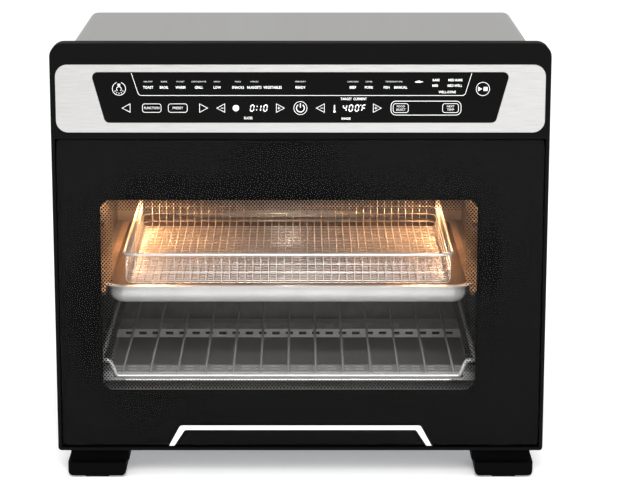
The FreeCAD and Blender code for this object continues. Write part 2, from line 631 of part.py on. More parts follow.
def cut(label, base, tools):
    """A solid with others taken away from it."""
    result = doc.addObject("Part::Cut", label)
    result.Base = base
    result.Tool = tools[0] if len(tools) == 1 else fuse(f"{label}_tools", tools)
    result.Refine = True
    return result


def group(label, pieces):
    """Separate solids kept together as one sub-part."""
    result = doc.addObject("Part::Compound", label)
    result.Links = pieces
    return result


def made(label, thing):
    """Enter a finished Part object as the sub-part with this label."""
    thing.Label = label
    parts[label] = thing
    return thing


def made_shape(label, shape):
    """Enter a shape made with Part's own functions as a sub-part."""
    feature = doc.addObject("Part::Feature", label)
    feature.Shape = shape
    parts[label] = feature
    return feature


def bent_path(points, radius):
    """A wire through the points with each inner corner rounded to a tangent arc."""
    edges = []
    start = points[0]
    for before, corner, after in zip(points, points[1:], points[2:]):
        towards = (corner - before).normalize()
        onwards = (after - corner).normalize()
        turn = towards.getAngle(onwards)
        reach = radius * math.tan(turn / 2)
        arc_start = corner - towards * reach
        arc_end = corner + onwards * reach
        bisector = (onwards - towards).normalize()
        centre = corner + bisector * (radius / math.cos(turn / 2))
        middle = centre - bisector * radius
        edges.append(Part.LineSegment(start, arc_start).toShape())
        edges.append(Part.Arc(arc_start, middle, arc_end).toShape())
        start = arc_end
    edges.append(Part.LineSegment(start, points[-1]).toShape())
    return Part.Wire(edges)


def wire_along(path, radius):
    """A round wire that follows a path."""
    first = path.OrderedEdges[0]
    start = first.valueAt(first.FirstParameter)
    direction = first.tangentAt(first.FirstParameter)
    section = Part.Wire(Part.makeCircle(radius, start, direction))
    return path.makePipeShell([section], True, False)


def at(x, y, z):
    """A point from three sizes."""
    return Vector(as_size(x).value, as_size(y).value, as_size(z).value)


# ---------------------------------------------------------------- front frame and controls


def make_front_frame():
    """Moulded frame round the door and the control panel."""
    body = new_body("front_frame")
    block = rectangle(body, "outside", "XZ", face, -frame_half, frame_half, frame_bottom, frame_top)
    pad(body, block, "block", frame_depth, "XZ")
    top = frame_top.value - TINY
    round_where(body, "upper_corners", frame_corner, lambda e: runs_along(e, "Y") and e.BoundBox.ZMin > top)
    foot = frame_bottom.value + TINY
    corner = frame_foot_corner
    round_where(body, "lower_corners", corner, lambda e: runs_along(e, "Y") and e.BoundBox.ZMax < foot)
    half = frame_half + past
    step = rectangle(body, "visor_step", "XZ", face + visor_depth, -half, half, casing_top, frame_top + past)
    pocket(body, step, "visor_cut", "XZ", frame_depth)
    recess_bottom = frame_bottom + frame_bar
    recess_top = door_top + door_gap
    recess = rectangle(body, "door_recess", "XZ", face, -recess_half, recess_half, recess_bottom, recess_top)
    pocket(body, recess, "door_room", "XZ", cavity_front - face)
    relief_bottom = frame_bottom + bar_floor
    relief_y = face + bar_lip
    relief_top = recess_bottom + past
    relief = rectangle(body, "bar_relief", "XZ", relief_y, -recess_half, recess_half, relief_bottom, relief_top)
    pocket(body, relief, "toe_room", "XZ", cavity_front - face - bar_lip)
    back_half = casing_half - frame_border
    back_top = recess_top - frame_border
    behind = rectangle(body, "back_opening", "XZ", cavity_front, -back_half, back_half, relief_bottom, back_top)
    pocket(body, behind, "cavity_room", "XZ", frame_depth)
    seat = rectangle(
        body,
        "fascia_seat",
        "XZ",
        face,
        -fascia_half - fit_gap,
        fascia_half + fit_gap,
        fascia_bottom - fit_gap,
        fascia_top + fit_gap,
    )
    pocket(body, seat, "fascia_room", "XZ", fascia_thickness)
    seat_floor = (face + fascia_thickness).value
    seat_levels = (fascia_bottom - fit_gap).value, (fascia_top + fit_gap).value
    seat_half = (fascia_half + fit_gap).value

    def at_seat_corner(edge):
        room = edge.BoundBox
        level = any(abs(room.ZMin - z) < TINY for z in seat_levels)
        wide = abs(abs(room.XMin) - seat_half) < TINY
        return runs_along(edge, "Y") and level and wide and room.YMax < seat_floor + TINY

    round_where(body, "seat_corners", fascia_corner + fit_gap, at_seat_corner)
    lens_room = outline(body, "lens_seat", "XZ", face, lens_corners(fit_gap))
    pocket(body, lens_room, "lens_room", "XZ", fit_gap + lens_thickness)
    round_where(body, "lens_seat_corners", lens_corner + fit_gap, at_lens_corner)
    inside = lens_bottom_half - lens_seat
    board = rectangle(
        body, "board_opening", "XZ", face, -inside, inside, lens_bottom + lens_seat, lens_top - lens_seat
    )
    pocket(body, board, "board_room", "XZ", frame_depth)


def lens_corners(grow):
    """Corner points of the display lens, grown by a clearance."""
    return [
        (-lens_bottom_half - grow, lens_bottom - grow),
        (lens_bottom_half + grow, lens_bottom - grow),
        (lens_top_half + grow, lens_top + grow),
        (-lens_top_half - grow, lens_top + grow),
    ]


def at_lens_corner(edge):
    """Whether an edge is one of the four front-to-back edges of the opening for the lens."""
    room = edge.BoundBox
    spots = [(as_size(x).value, as_size(z).value) for x, z in lens_corners(fit_gap)]
    near = any(abs(room.XMin - x) < TINY and abs(room.ZMin - z) < TINY for x, z in spots)
    return runs_along(edge, "Y") and near


def make_control_fascia():
    """Brushed steel fascia with a sloping-sided window for the lens."""
    body = new_body("control_fascia")
    plate = rectangle(body, "outside", "XZ", face, -fascia_half, fascia_half, fascia_bottom, fascia_top)
    pad(body, plate, "plate", fascia_thickness, "XZ")
    round_where(body, "corners", fascia_corner, lambda e: runs_along(e, "Y"))
    window = outline(body, "lens_window", "XZ", face, lens_corners(fit_gap))
    pocket(body, window, "window", "XZ")
    round_where(body, "window_corners", lens_corner + fit_gap, at_lens_corner)


def make_display_lens():
    """Dark lens that carries the printed legends."""
    body = new_body("display_lens")
    sketch = outline(body, "outside", "XZ", face + fit_gap, lens_corners(0))
    pad(body, sketch, "lens", lens_thickness, "XZ")
    round_where(body, "corners", lens_corner, lambda e: runs_along(e, "Y"))


DISPLAY_SPOTS = (-36, 47)  # middles of the digit displays, from the oven's middle
TOUCH_SPOTS = [  # distance from the oven's middle, row: 1 is the upper row of keys
    (-156.5, 1),
    (156.5, 1),
    (-149.5, 0),
    (-79, 0),
    (-69, 0),
    (-14, 0),
    (0, 0),
    (14, 0),
    (69, 0),
    (84, 0),
    (128, 0),
]


def make_control_board():
    """Circuit board behind the lens with its displays and touch springs."""
    edge = fit_gap * 2
    half = lens_bottom_half - lens_seat - edge
    board = box(
        "control_board_plate",
        -half,
        half,
        board_y,
        board_y + board_thickness,
        lens_bottom + lens_seat + edge,
        lens_top - lens_seat - edge,
    )
    made("control_board", board)
    front = board_y - display_depth
    displays = []
    for index, middle in enumerate(DISPLAY_SPOTS):
        displays.append(
            box(
                f"display_{index}",
                middle - display_width / 2,
                middle + display_width / 2,
                front,
                board_y,
                display_level - display_height / 2,
                display_level + display_height / 2,
            )
        )
    made("led_displays", group("led_display_pair", displays))
    springs = []
    for index, (middle, row) in enumerate(TOUCH_SPOTS):
        level = display_level + touch_row * row
        springs.append(rod(f"touch_spring_{index}", "Y", (middle, front, level), display_depth, touch_radius))
    made("touch_springs", group("touch_spring_set", springs))


# ---------------------------------------------------------------- casing, base and feet


SIDE_VENTS = 12


def make_casing_wrap():
    """Top and both sides bent from one sheet of brushed steel."""
    body = new_body("casing_wrap")
    start = face + frame_depth
    block = rectangle(body, "outside", "XZ", start, -casing_half, casing_half, frame_bottom, casing_top)
    pad(body, block, "block", casing_end - start, "XZ")
    low = frame_bottom - past
    room = rectangle(body, "inside", "XZ", start, -casing_inside, casing_inside, low, casing_top - sheet_metal)
    pocket(body, room, "room", "XZ", casing_end - start + past)
    inner_top = (casing_top - sheet_metal).value

    def inner_bend(edge):
        return runs_along(edge, "Y") and abs(edge.BoundBox.ZMin - inner_top) < TINY

    round_where(body, "inner_bends", casing_corner - sheet_metal, inner_bend)
    top = casing_top.value - TINY
    round_where(body, "bends", casing_corner, lambda e: runs_along(e, "Y") and e.BoundBox.ZMin > top)
    near = face + side_vent_front
    outside = -casing_half - past
    for name, level in (("low_vents", low_vent_level), ("high_vents", casing_top - high_vent_drop)):
        slot = rectangle(body, name, "YZ", outside, near, near + vent_width, level, level + side_vent_height)
        hole = pocket(body, slot, f"{name}_slot", "YZ", (casing_half + past) * 2)
        row_of(body, hole, f"{name}_row", slot, "H_Axis", vent_pitch, SIDE_VENTS)


REAR_VENTS = 21


def make_rear_panel():
    """Rear panel, bulged behind the cavity's curved bay, with vents and the cord opening."""
    body = new_body("rear_panel")
    start = casing_end - sheet_metal
    half = casing_inside - fit_gap
    low = frame_bottom + sheet_metal + fit_gap
    high = casing_top - sheet_metal - fit_gap
    plate = rectangle(body, "outside", "XZ", start, -half, half, low, high)
    pad(body, plate, "plate", sheet_metal, "XZ")
    top = high.value - TINY
    bend = casing_corner - sheet_metal
    round_where(body, "corners", bend, lambda e: runs_along(e, "Y") and e.BoundBox.ZMin > top)
    hump = rectangle(body, "hump", "XZ", casing_end, *bulge_sides(0))
    pad(body, hump, "hump_block", rear_bulge_depth, "XZ")
    back = (casing_end + rear_bulge_depth).value
    round_where(body, "hump_edges", rear_bulge_round, lambda e: e.BoundBox.YMin > back - TINY)
    hollow = rectangle(body, "hollow", "XZ", start, *bulge_sides(rear_bulge_wall))
    pocket(body, hollow, "hollow_room", "XZ", rear_bulge_depth - sheet_metal * 2)
    level = bulge_sides(0)[3] + rear_vent_rise
    first = -rear_vent_half
    slot = rectangle(body, "vent", "XZ", start, first, first + vent_width, level, level + rear_vent_height)
    hole = pocket(body, slot, "vent_slot", "XZ")
    row_of(body, hole, "vent_row", slot, "H_Axis", vent_pitch, REAR_VENTS)
    gland_hole = cord_radius + gland_wall + fit_gap
    gland = circle(body, "gland_hole", "XZ", start, (cord_side, cord_level), gland_hole)
    pocket(body, gland, "gland_room", "XZ")
    for index, (x, z) in enumerate(rear_screw_places()):
        spot = circle(body, f"screw_spot_{index}", "XZ", start, (x, z), screw_radius + screw_hole_gap)
        pocket(body, spot, f"screw_hole_{index}", "XZ")


def bulge_sides(wall):
    """Sides of the rear panel's bulge, drawn in by a wall: left, right, bottom, top."""
    half = bay_width / 2 + rear_bulge_side - wall
    low = bay_bottom - rear_bulge_rise + wall
    high = bay_top + rear_bulge_rise - wall
    return cavity_shift - half, cavity_shift + half, low, high


def rear_screw_places():
    """Where the rear panel is screwed on."""
    side = casing_inside - rear_screw_side
    low = frame_bottom + rear_screw_rise
    high = casing_top - rear_screw_drop
    middle = (frame_bottom + casing_top) / 2
    return [(-side, low), (side, low), (-side, high), (side, high), (-side, middle), (side, middle)]


def make_rear_spacers():
    """Moulded stops that keep the oven off the wall."""
    level = casing_top - spacer_drop
    pieces = []
    for side in (-1, 1):
        middle = spacer_spread / 2 * side
        pieces.append(
            box(
                f"rear_spacer_{side}",
                middle - spacer_side / 2,
                middle + spacer_side / 2,
                casing_end,
                rear_end,
                level - spacer_side / 2,
                level + spacer_side / 2,
            )
        )
    made("rear_spacers", group("rear_spacer_pair", pieces))


BASE_VENTS = 14


def make_base_pan():
    """Bottom plate with cooling slots."""
    body = new_body("base_pan")
    half = casing_inside - fit_gap
    start = face + frame_depth + fit_gap
    end = casing_end - sheet_metal - fit_gap
    plate = rectangle(body, "outside", "XY", frame_bottom, -half, half, start, end)
    pad(body, plate, "plate", sheet_metal, "XY")
    first = -base_vent_half
    near = start + base_vent_front
    slot = rectangle(
        body, "vent", "XY", frame_bottom, first, first + vent_width, near, near + base_vent_length
    )
    hole = pocket(body, slot, "vent_slot", "XY")
    row_of(body, hole, "vent_row", slot, "H_Axis", vent_pitch, BASE_VENTS)


def make_feet():
    """Four moulded feet with a wide base, each on a rubber pad."""
    outer = frame_half - foot_inset
    pads = []
    feet = []
    for end, near in (("front", face + fit_gap), ("rear", casing_end - foot_length)):
        for side in (-1, 1):
            tag = f"{end}_{'left' if side < 0 else 'right'}"
            inner = outer - foot_width
            low, high = (-outer, -inner) if side < 0 else (inner, outer)
            base = box(f"foot_base_{tag}", low, high, near, near + foot_length, foot_pad_height, foot_toe_top)
            shift = foot_neck_shift * side
            neck = box(
                f"foot_neck_{tag}",
                low - shift,
                high - shift,
                near + foot_neck_front,
                near + foot_length - foot_neck_rear,
                foot_toe_top,
                frame_bottom,
            )
            solid = fuse(f"foot_{tag}", [base, neck])
            feet.append(rounded_foot(solid, tag))
            middle = (low + high) / 2
            pads.append(
                box(
                    f"foot_pad_{tag}",
                    middle - foot_pad_width / 2,
                    middle + foot_pad_width / 2,
                    near + foot_pad_inset,
                    near + foot_length - foot_pad_inset,
                    0,
                    foot_pad_height,
                )
            )
    made("feet", group("foot_set", feet))
    made("foot_pads", group("foot_pad_set", pads))


def rounded_foot(solid, tag):
    """Round the lower front-to-back edges and the upright corners of a foot's base."""
    doc.recompute()
    low = foot_pad_height.value
    base_top = foot_toe_top.value
    radius = foot_round.value
    picks = []
    for index, edge in enumerate(solid.Shape.Edges):
        room = edge.BoundBox
        low_run = runs_along(edge, "Y") and abs(room.ZMin - low) < TINY
        corner = runs_along(edge, "Z") and room.ZMax < base_top + TINY
        if low_run or corner:
            picks.append((index + 1, radius, radius))
    fillet = doc.addObject("Part::Fillet", f"foot_round_{tag}")
    fillet.Base = solid
    fillet.Edges = picks
    return fillet


# ---------------------------------------------------------------- cavity


def ledges():
    """Top and front end of each rack ledge: the two in use and one spare near the top."""
    front = cavity_front + ledge_front_gap
    return {
        "rack": (rack_level - rack_wire - slide_gap, rack_near + rack_wire * 3),
        "tray": (tray_level - tray_sheet - slide_gap, front),
        "spare": (tray_level + spare_ledge_rise, front),
    }


def make_side_wall(side):
    """Cavity side wall with formed ledges and openings for the heater ends."""
    name = "left" if side < 0 else "right"
    inside = cavity_left if side < 0 else cavity_right
    outside = inside + sheet_metal * side
    low_x, high_x = (outside, inside) if side < 0 else (inside, outside)
    pieces = [
        box(f"wall_{name}", low_x, high_x, cavity_front, cavity_back, cavity_floor_level, cavity_ceiling_level)
    ]
    for label, (top, start) in ledges().items():
        reach = inside - ledge_reach * side
        low, high = (outside, reach) if side < 0 else (reach, outside)
        end = cavity_back - ledge_rear_gap
        pieces.append(box(f"ledge_{label}_{name}", low, high, start, end, top - ledge_height, top))
    wall = fuse(f"wall_with_ledges_{name}", pieces)
    holes = []
    for index, (y, z) in enumerate(heater_places()):
        start = (inside - ledge_reach, y, z)
        hole_radius = heater_radius + heater_hole_gap
        holes.append(rod(f"heater_hole_{name}_{index}", "X", start, ledge_reach * 2, hole_radius))
    if side > 0:
        lamp = (inside - ledge_reach, face + lamp_back, lamp_level)
        holes.append(rod("lamp_hole", "X", lamp, ledge_reach * 2, lamp_radius + fit_gap))
        probe = (inside - ledge_reach, face + probe_back, probe_level)
        holes.append(rod("probe_hole", "X", probe, ledge_reach * 2, probe_radius + fit_gap))
    made(f"cavity_{name}_wall", cut(f"wall_cut_{name}", wall, holes))


def guard_fronts():
    """Front face of each heater guard."""
    return face + front_guard_at, cavity_back - rear_guard_gap


def heater_places():
    """Axis of every heating element as depth and level: two below, four above."""
    shifts = (-upper_heater_outer, -upper_heater_inner, upper_heater_inner, upper_heater_outer)
    lower = [(front + guard_width / 2, lower_heater_level) for front in guard_fronts()]
    upper = [(fan_y + shift, upper_heater_level) for shift in shifts]
    return lower + upper


def make_cavity_sheets():
    """Floor, ceiling and front plate of the cavity."""
    left = cavity_left - sheet_metal
    right = cavity_right + sheet_metal
    floor_low = cavity_floor_level - sheet_metal
    floor = box("floor_sheet", left, right, cavity_front, cavity_back, floor_low, cavity_floor_level)
    made("cavity_floor", floor)
    roof = box(
        "roof_sheet",
        left,
        right,
        cavity_front,
        cavity_back,
        cavity_ceiling_level,
        cavity_ceiling_level + sheet_metal,
    )
    mouth_low = cavity_ceiling_level - past
    mouth = rod("fan_mouth", "Z", (cavity_shift, fan_y, mouth_low), sheet_metal + past * 2, fan_opening)
    made("cavity_ceiling", cut("ceiling_with_mouth", roof, [mouth]))
    body = new_body("cavity_front_plate")
    half = recess_half - fit_gap * 2
    low = cavity_floor_level - plate_drop
    high = door_top + door_gap - fit_gap * 2
    plate = rectangle(body, "outside", "XZ", plate_front, -half, half, low, high)
    pad(body, plate, "plate", sheet_metal, "XZ")
    opening = rectangle(
        body,
        "mouth",
        "XZ",
        plate_front,
        cavity_left,
        cavity_right,
        cavity_floor_level,
        cavity_ceiling_level,
    )
    pocket(body, opening, "mouth_cut", "XZ")
    hole = plunger_radius + fit_gap
    spot = circle(body, "switch_spot", "XZ", plate_front, (switch_side, switch_level), hole)
    pocket(body, spot, "switch_hole", "XZ")


def make_rear_wall():
    """Cavity rear wall with a curved bay for a round pan."""
    half = bay_width.value / 2
    depth = bay_depth.value
    radius = (half**2 + depth**2) / (2 * depth)
    wall = cavity_back.value
    centre = Vector(cavity_shift.value, wall + depth - radius, 0)
    skin = sheet_metal.value
    low, high = bay_bottom.value, bay_top.value
    left = cavity_left.value - skin
    width = cavity_width.value + 2 * skin
    floor = cavity_floor_level.value - skin
    height = cavity_ceiling_level.value + skin - floor
    plate = Part.makeBox(width, skin, height, Vector(left, wall, floor))

    def bay(curve_radius, bottom, top, start):
        drum = Part.makeCylinder(curve_radius, top - bottom, centre + Vector(0, 0, bottom))
        behind = Part.makeBox(width, 2 * depth, top - bottom, Vector(left, start, bottom))
        return drum.common(behind)

    outer = bay(radius, low - skin, high + skin, wall)
    inner = bay(radius - skin, low, high, wall - past.value)
    made_shape("cavity_rear_wall", plate.fuse(outer).cut(inner).removeSplitter())


def make_guard(label, start):
    """Channel over a lower heater with one row of slots in each flange and two in its top."""
    body = doc.addObject("PartDesign::Body", label)
    low = guard_level - guard_height
    left = cavity_left + fit_gap
    right = cavity_right - fit_gap
    block = rectangle(body, "outside", "YZ", left, start, start + guard_width, low, guard_level)
    pad(body, block, "block", right - left, "YZ")
    room = rectangle(
        body,
        "inside",
        "YZ",
        left,
        start + sheet_metal,
        start + guard_width - sheet_metal,
        low - past,
        guard_level - sheet_metal,
    )
    pocket(body, room, "room", "YZ", right - left + past)
    slotted = right - left - slot_margin * 2 - slot_length
    count = int(slotted.value // slot_pitch.value) + 1
    first = cavity_shift - slot_pitch * (count - 1) / 2 - slot_length / 2
    middle = guard_level - guard_height / 2
    rows = [("flange_slot", "XZ", start, middle - slot_height / 2, middle + slot_height / 2)]
    for index, offset in enumerate((top_slot_front, top_slot_rear)):
        rows.append((f"top_slot_{index}", "XY", low, start + offset, start + offset + top_slot_width))
    for name, plane, level, near, far in rows:
        sketch = rectangle(body, name, plane, level, first, first + slot_length, near, far)
        hole = pocket(body, sketch, f"{name}_cut", plane)
        row_of(body, hole, f"{name}_row", sketch, "H_Axis", slot_pitch, count)
    return body


def make_heaters():
    """Heating element tubes with a ceramic insulator at each end."""
    start = cavity_left - sheet_metal - heater_overhang
    length = cavity_width + (sheet_metal + heater_overhang) * 2
    tubes = []
    insulators = []
    for index, (y, z) in enumerate(heater_places()):
        tubes.append(rod(f"heater_{index}", "X", (start, y, z), length, heater_radius))
        for side in (-1, 1):
            wall = cavity_left - sheet_metal if side < 0 else cavity_right + sheet_metal
            near = wall - insulator_length if side < 0 else wall
            tag = f"insulator_{index}_{side}"
            disc = rod(f"{tag}_disc", "X", (near, y, z), insulator_length, insulator_radius)
            bore_radius = heater_radius + insulator_play
            bore = rod(f"{tag}_bore", "X", (near - past, y, z), insulator_length + past * 2, bore_radius)
            insulators.append(cut(tag, disc, [bore]))
    made("lower_heaters", group("lower_heater_pair", tubes[:2]))
    made("upper_heaters", group("upper_heater_set", tubes[2:]))
    made("heater_insulators", group("insulator_set", insulators))


# ---------------------------------------------------------------- fan and motor


INNER_GUARD_SLOTS = 12
MORE_GUARD_SLOTS = 6  # each ring of guard slots has this many more than the ring inside it


def make_fan_housing():
    """Drum above the ceiling that the convection fan turns in, and the guard below it."""
    base = cavity_ceiling_level + sheet_metal
    drum_radius = fan_opening + housing_margin
    outer = rod("drum_outside", "Z", (cavity_shift, fan_y, base), housing_height, drum_radius)
    inner = rod(
        "drum_inside",
        "Z",
        (cavity_shift, fan_y, base - past),
        housing_height + past - sheet_metal,
        drum_radius - sheet_metal,
    )
    hole_radius = shaft_radius + shaft_hole_gap
    shaft_hole = rod("drum_shaft_hole", "Z", (cavity_shift, fan_y, base), housing_height + past, hole_radius)
    made("fan_housing", cut("drum", outer, [inner, shaft_hole]))
    body = new_body("fan_guard")
    level = cavity_ceiling_level - sheet_metal
    centre = (cavity_shift, fan_y)
    disc = circle(body, "outside", "XY", level, centre, fan_opening + guard_margin)
    pad(body, disc, "disc", sheet_metal, "XY")
    rings = int((fan_opening - guard_slot_first - guard_slot_length).value // guard_slot_pitch.value) + 1
    side = guard_slot_width / 2
    for index in range(rings):
        near = guard_slot_first + guard_slot_pitch * index
        far = near + guard_slot_length
        spot = rectangle(body, f"slot_{index}", "XY", level, near, far, -side, side, centre)
        hole = pocket(body, spot, f"slot_cut_{index}", "XY")
        ring_of(body, hole, f"slot_ring_{index}", spot, INNER_GUARD_SLOTS + MORE_GUARD_SLOTS * index)


def ring_of(body, feature, name, sketch, count):
    """Repeat a feature round the sketch's own origin."""
    pattern = body.newObject("PartDesign::PolarPattern", name)
    pattern.Originals = [feature]
    pattern.Axis = (sketch, ["N_Axis"])
    pattern.Angle = 360
    pattern.Occurrences = count
    body.Tip = pattern
    doc.recompute()
    return pattern


CONVECTION_BLADES = 8
COOLING_BLADES = 10


def make_motor():
    """Motor over the fan housing: bracket, stator, cap, and the turning shaft, rotor and fans."""
    base = cavity_ceiling_level + sheet_metal + housing_height
    top = base + bracket_rise
    bore = shaft_radius + shaft_play
    left = cavity_shift - bracket_half
    right = cavity_shift + bracket_half
    near = fan_y - bracket_width / 2
    far = fan_y + bracket_width / 2
    left_inner = left + bracket_sheet
    right_inner = right - bracket_sheet
    tab_top = base + bracket_sheet
    pieces = [
        box("bracket_top", left, right, near, far, top - bracket_sheet, top),
        box("bracket_left", left, left_inner, near, far, base, top),
        box("bracket_right", right_inner, right, near, far, base, top),
        box("bracket_left_tab", left - bracket_tab, left_inner, near, far, base, tab_top),
        box("bracket_right_tab", right_inner, right + bracket_tab, near, far, base, tab_top),
    ]
    hole = rod("bracket_bore", "Z", (cavity_shift, fan_y, base), bracket_rise + past, bore)
    made("motor_bracket", cut("bracket_bored", fuse("bracket_strip", pieces), [hole]))
    half = stator_side / 2
    cap_low = top + stator_height
    block = box(
        "stator_block",
        cavity_shift - half,
        cavity_shift + half,
        fan_y - half,
        fan_y + half,
        top,
        cap_low,
    )
    stator_bore = rotor_radius + rotor_gap
    room = rod("stator_bore", "Z", (cavity_shift, fan_y, top - past), stator_height + past * 2, stator_bore)
    made("motor_stator", cut("stator_bored", block, [room]))
    cap = box(
        "cap_plate",
        cavity_shift - half,
        cavity_shift + half,
        fan_y - cap_width / 2,
        fan_y + cap_width / 2,
        cap_low,
        cap_low + bracket_sheet,
    )
    cap_bore = rod("cap_bore", "Z", (cavity_shift, fan_y, cap_low - past), bracket_sheet + past * 2, bore)
    made("motor_cap", cut("cap_bored", cap, [cap_bore]))
    inside = (cavity_shift, fan_y)
    rotor_low = top + rotor_end_gap
    rotor = rod("rotor_core", "Z", (*inside, rotor_low), stator_height - rotor_end_gap * 2, rotor_radius)
    rotor_hole = rod("rotor_hole", "Z", (*inside, top), stator_height, shaft_radius)
    made("motor_rotor", cut("rotor_bored", rotor, [rotor_hole]))
    fan_low = cavity_ceiling_level + fan_rise
    shaft_top = cap_low + bracket_sheet + shaft_end
    made("motor_shaft", rod("shaft_rod", "Z", (*inside, fan_low), shaft_top - fan_low, shaft_radius))
    make_fan("convection_fan_blade", fan_low, fan_radius, fan_height, CONVECTION_BLADES)
    make_fan(
        "cooling_fan_blade", base + cooling_fan_rise, cooling_fan_radius, cooling_fan_height, COOLING_BLADES
    )


def make_fan(label, low, radius, height, blades):
    """Radial fan: hub, thin disc and upright blades below it, bored for the shaft."""
    body = new_body(label)
    centre = (cavity_shift, fan_y)
    hub_radius = shaft_radius + fan_hub_wall
    hub = circle(body, "hub_outline", "XY", low, centre, hub_radius)
    pad(body, hub, "hub", height, "XY")
    disc = circle(body, "disc_outline", "XY", low + height - fan_disc, centre, radius)
    pad(body, disc, "disc", fan_disc, "XY")
    inner = hub_radius + fan_hub_gap
    outer = radius - fan_blade_inset
    side = fan_disc / 2
    blade = rectangle(body, "blade_outline", "XY", low, inner, outer, -side, side, centre)
    blade_pad = pad(body, blade, "blade", height - fan_disc / 2, "XY")
    ring_of(body, blade_pad, "blades", blade, blades)
    bore = circle(body, "bore_outline", "XY", low - past, centre, shaft_radius)
    pocket(body, bore, "bore", "XY")


# ---------------------------------------------------------------- rack, tray, basket and crumb tray


def make_wire_rack():
    """Wire rack with raised side wires, dipped end bars and deck wires across them."""
    middle = (rack_near + rack_far) / 2
    bar = rack_level - rack_drop
    low = bar - lower_bar_drop

    def both_ways(half_run):
        """A path over the whole width from its left half, given as distance in from the side wire."""
        left = [at(cavity_shift - rack_half + inward, y, z) for inward, y, z in half_run]
        right = [at(cavity_shift + rack_half - inward, y, z) for inward, y, z in reversed(half_run)]
        return left + right

    front = both_ways(
        [
            (0, middle, rack_level),
            (0, rack_near, rack_level),
            (front_dip_start, rack_near, rack_level),
            (front_dip_end, rack_near, bar),
        ]
    )
    rear = both_ways(
        [
            (0, middle, rack_level),
            (0, rack_far, rack_level),
            (rear_dip_start, rack_far, rack_level),
            (rear_dip_end, rack_far, bar),
        ]
    )
    second_y = rack_near + rack_wire / 2
    second = both_ways([(second_bar_start, second_y, bar), (second_bar_end, second_y, low)])
    wires = [
        wire_along(bent_path(front, rack_front_bend.value), rack_wire.value),
        wire_along(bent_path(rear, rack_rear_bend.value), rack_wire.value),
        wire_along(bent_path(second, second_bar_bend.value), deck_wire.value),
    ]
    deck = bar + rack_wire + deck_wire - deck_sink
    each_side = int((rack_half - deck_margin).value // deck_pitch.value)
    length = (rack_far - rack_near + rack_wire).value
    for index in range(-each_side, each_side + 1):
        start = at(cavity_shift + deck_pitch * index, rack_near - rack_wire / 2, deck)
        wires.append(Part.makeCylinder(deck_wire.value, length, start, Vector(0, 1, 0)))
    made_shape("wire_rack", wires[0].multiFuse(wires[1:]))


def rounded_block(label, low_x, high_x, low_y, high_y, low_z, high_z, corner, foot):
    """A block with rounded upright corners and rounded lower edges."""
    block = box(f"{label}_block", low_x, high_x, low_y, high_y, low_z, high_z)
    doc.recompute()
    corners = doc.addObject("Part::Fillet", f"{label}_corners")
    corners.Base = block
    radius = as_size(corner).value
    corners.Edges = [(i + 1, radius, radius) for i, e in enumerate(block.Shape.Edges) if runs_along(e, "Z")]
    doc.recompute()
    low = as_size(low_z).value
    rounded = doc.addObject("Part::Fillet", f"{label}_foot")
    rounded.Base = corners
    rim = [i + 1 for i, e in enumerate(corners.Shape.Edges) if e.BoundBox.ZMax < low + TINY]
    foot_radius = as_size(foot).value
    rounded.Edges = [(i, foot_radius, foot_radius) for i in rim]
    return rounded


def make_pan(label, half, near, far, low, high, corner, foot, thickness):
    """A thin open pan with rounded corners, before its rim."""
    outside = rounded_block(
        f"{label}_outside", cavity_shift - half, cavity_shift + half, near, far, low, high, corner, foot
    )
    inside = rounded_block(
        f"{label}_inside",
        cavity_shift - half + thickness,
        cavity_shift + half - thickness,
        near + thickness,
        far - thickness,
        low + thickness,
        high + past,
        corner - thickness,
        foot - thickness,
    )
    return cut(f"{label}_pan", outside, [inside])


def make_baking_tray():
    """Pressed tray with a flat rim that rides on the ledges."""
    near = tray_near + tray_rim
    far = tray_far - tray_rim
    half = tray_half - tray_rim
    low = tray_level - tray_height
    wall = tray_corner - tray_rim
    pan = make_pan("tray", half, near, far, low, tray_level, wall, tray_foot_round, tray_sheet)
    rim_low = tray_level - tray_sheet
    left = cavity_shift - tray_half
    right = cavity_shift + tray_half
    plate = box("tray_rim_block", left, right, tray_near, tray_far, rim_low, tray_level)
    doc.recompute()
    plate_round = doc.addObject("Part::Fillet", "tray_rim_round")
    plate_round.Base = plate
    radius = tray_corner.value
    upright = [i + 1 for i, e in enumerate(plate.Shape.Edges) if runs_along(e, "Z")]
    plate_round.Edges = [(index, radius, radius) for index in upright]
    hole = rounded_block(
        "tray_rim_hole",
        cavity_shift - half + tray_sheet,
        cavity_shift + half - tray_sheet,
        near + tray_sheet,
        far - tray_sheet,
        low + tray_foot_round + past,
        tray_level + past,
        wall - tray_sheet,
        tray_sheet,
    )
    rim = cut("tray_rim_ring", plate_round, [hole])
    made("baking_tray", fuse("tray_with_rim", [pan, rim]))


def closed_path(half_x, near, far, level, corner):
    """A closed rectangular path with rounded corners, round the cavity's middle."""
    left = cavity_shift - half_x
    right = cavity_shift + half_x
    start = at(cavity_shift, near, level)
    points = [
        start,
        at(right, near, level),
        at(right, far, level),
        at(left, far, level),
        at(left, near, level),
        start,
    ]
    return bent_path(points, as_size(corner).value)


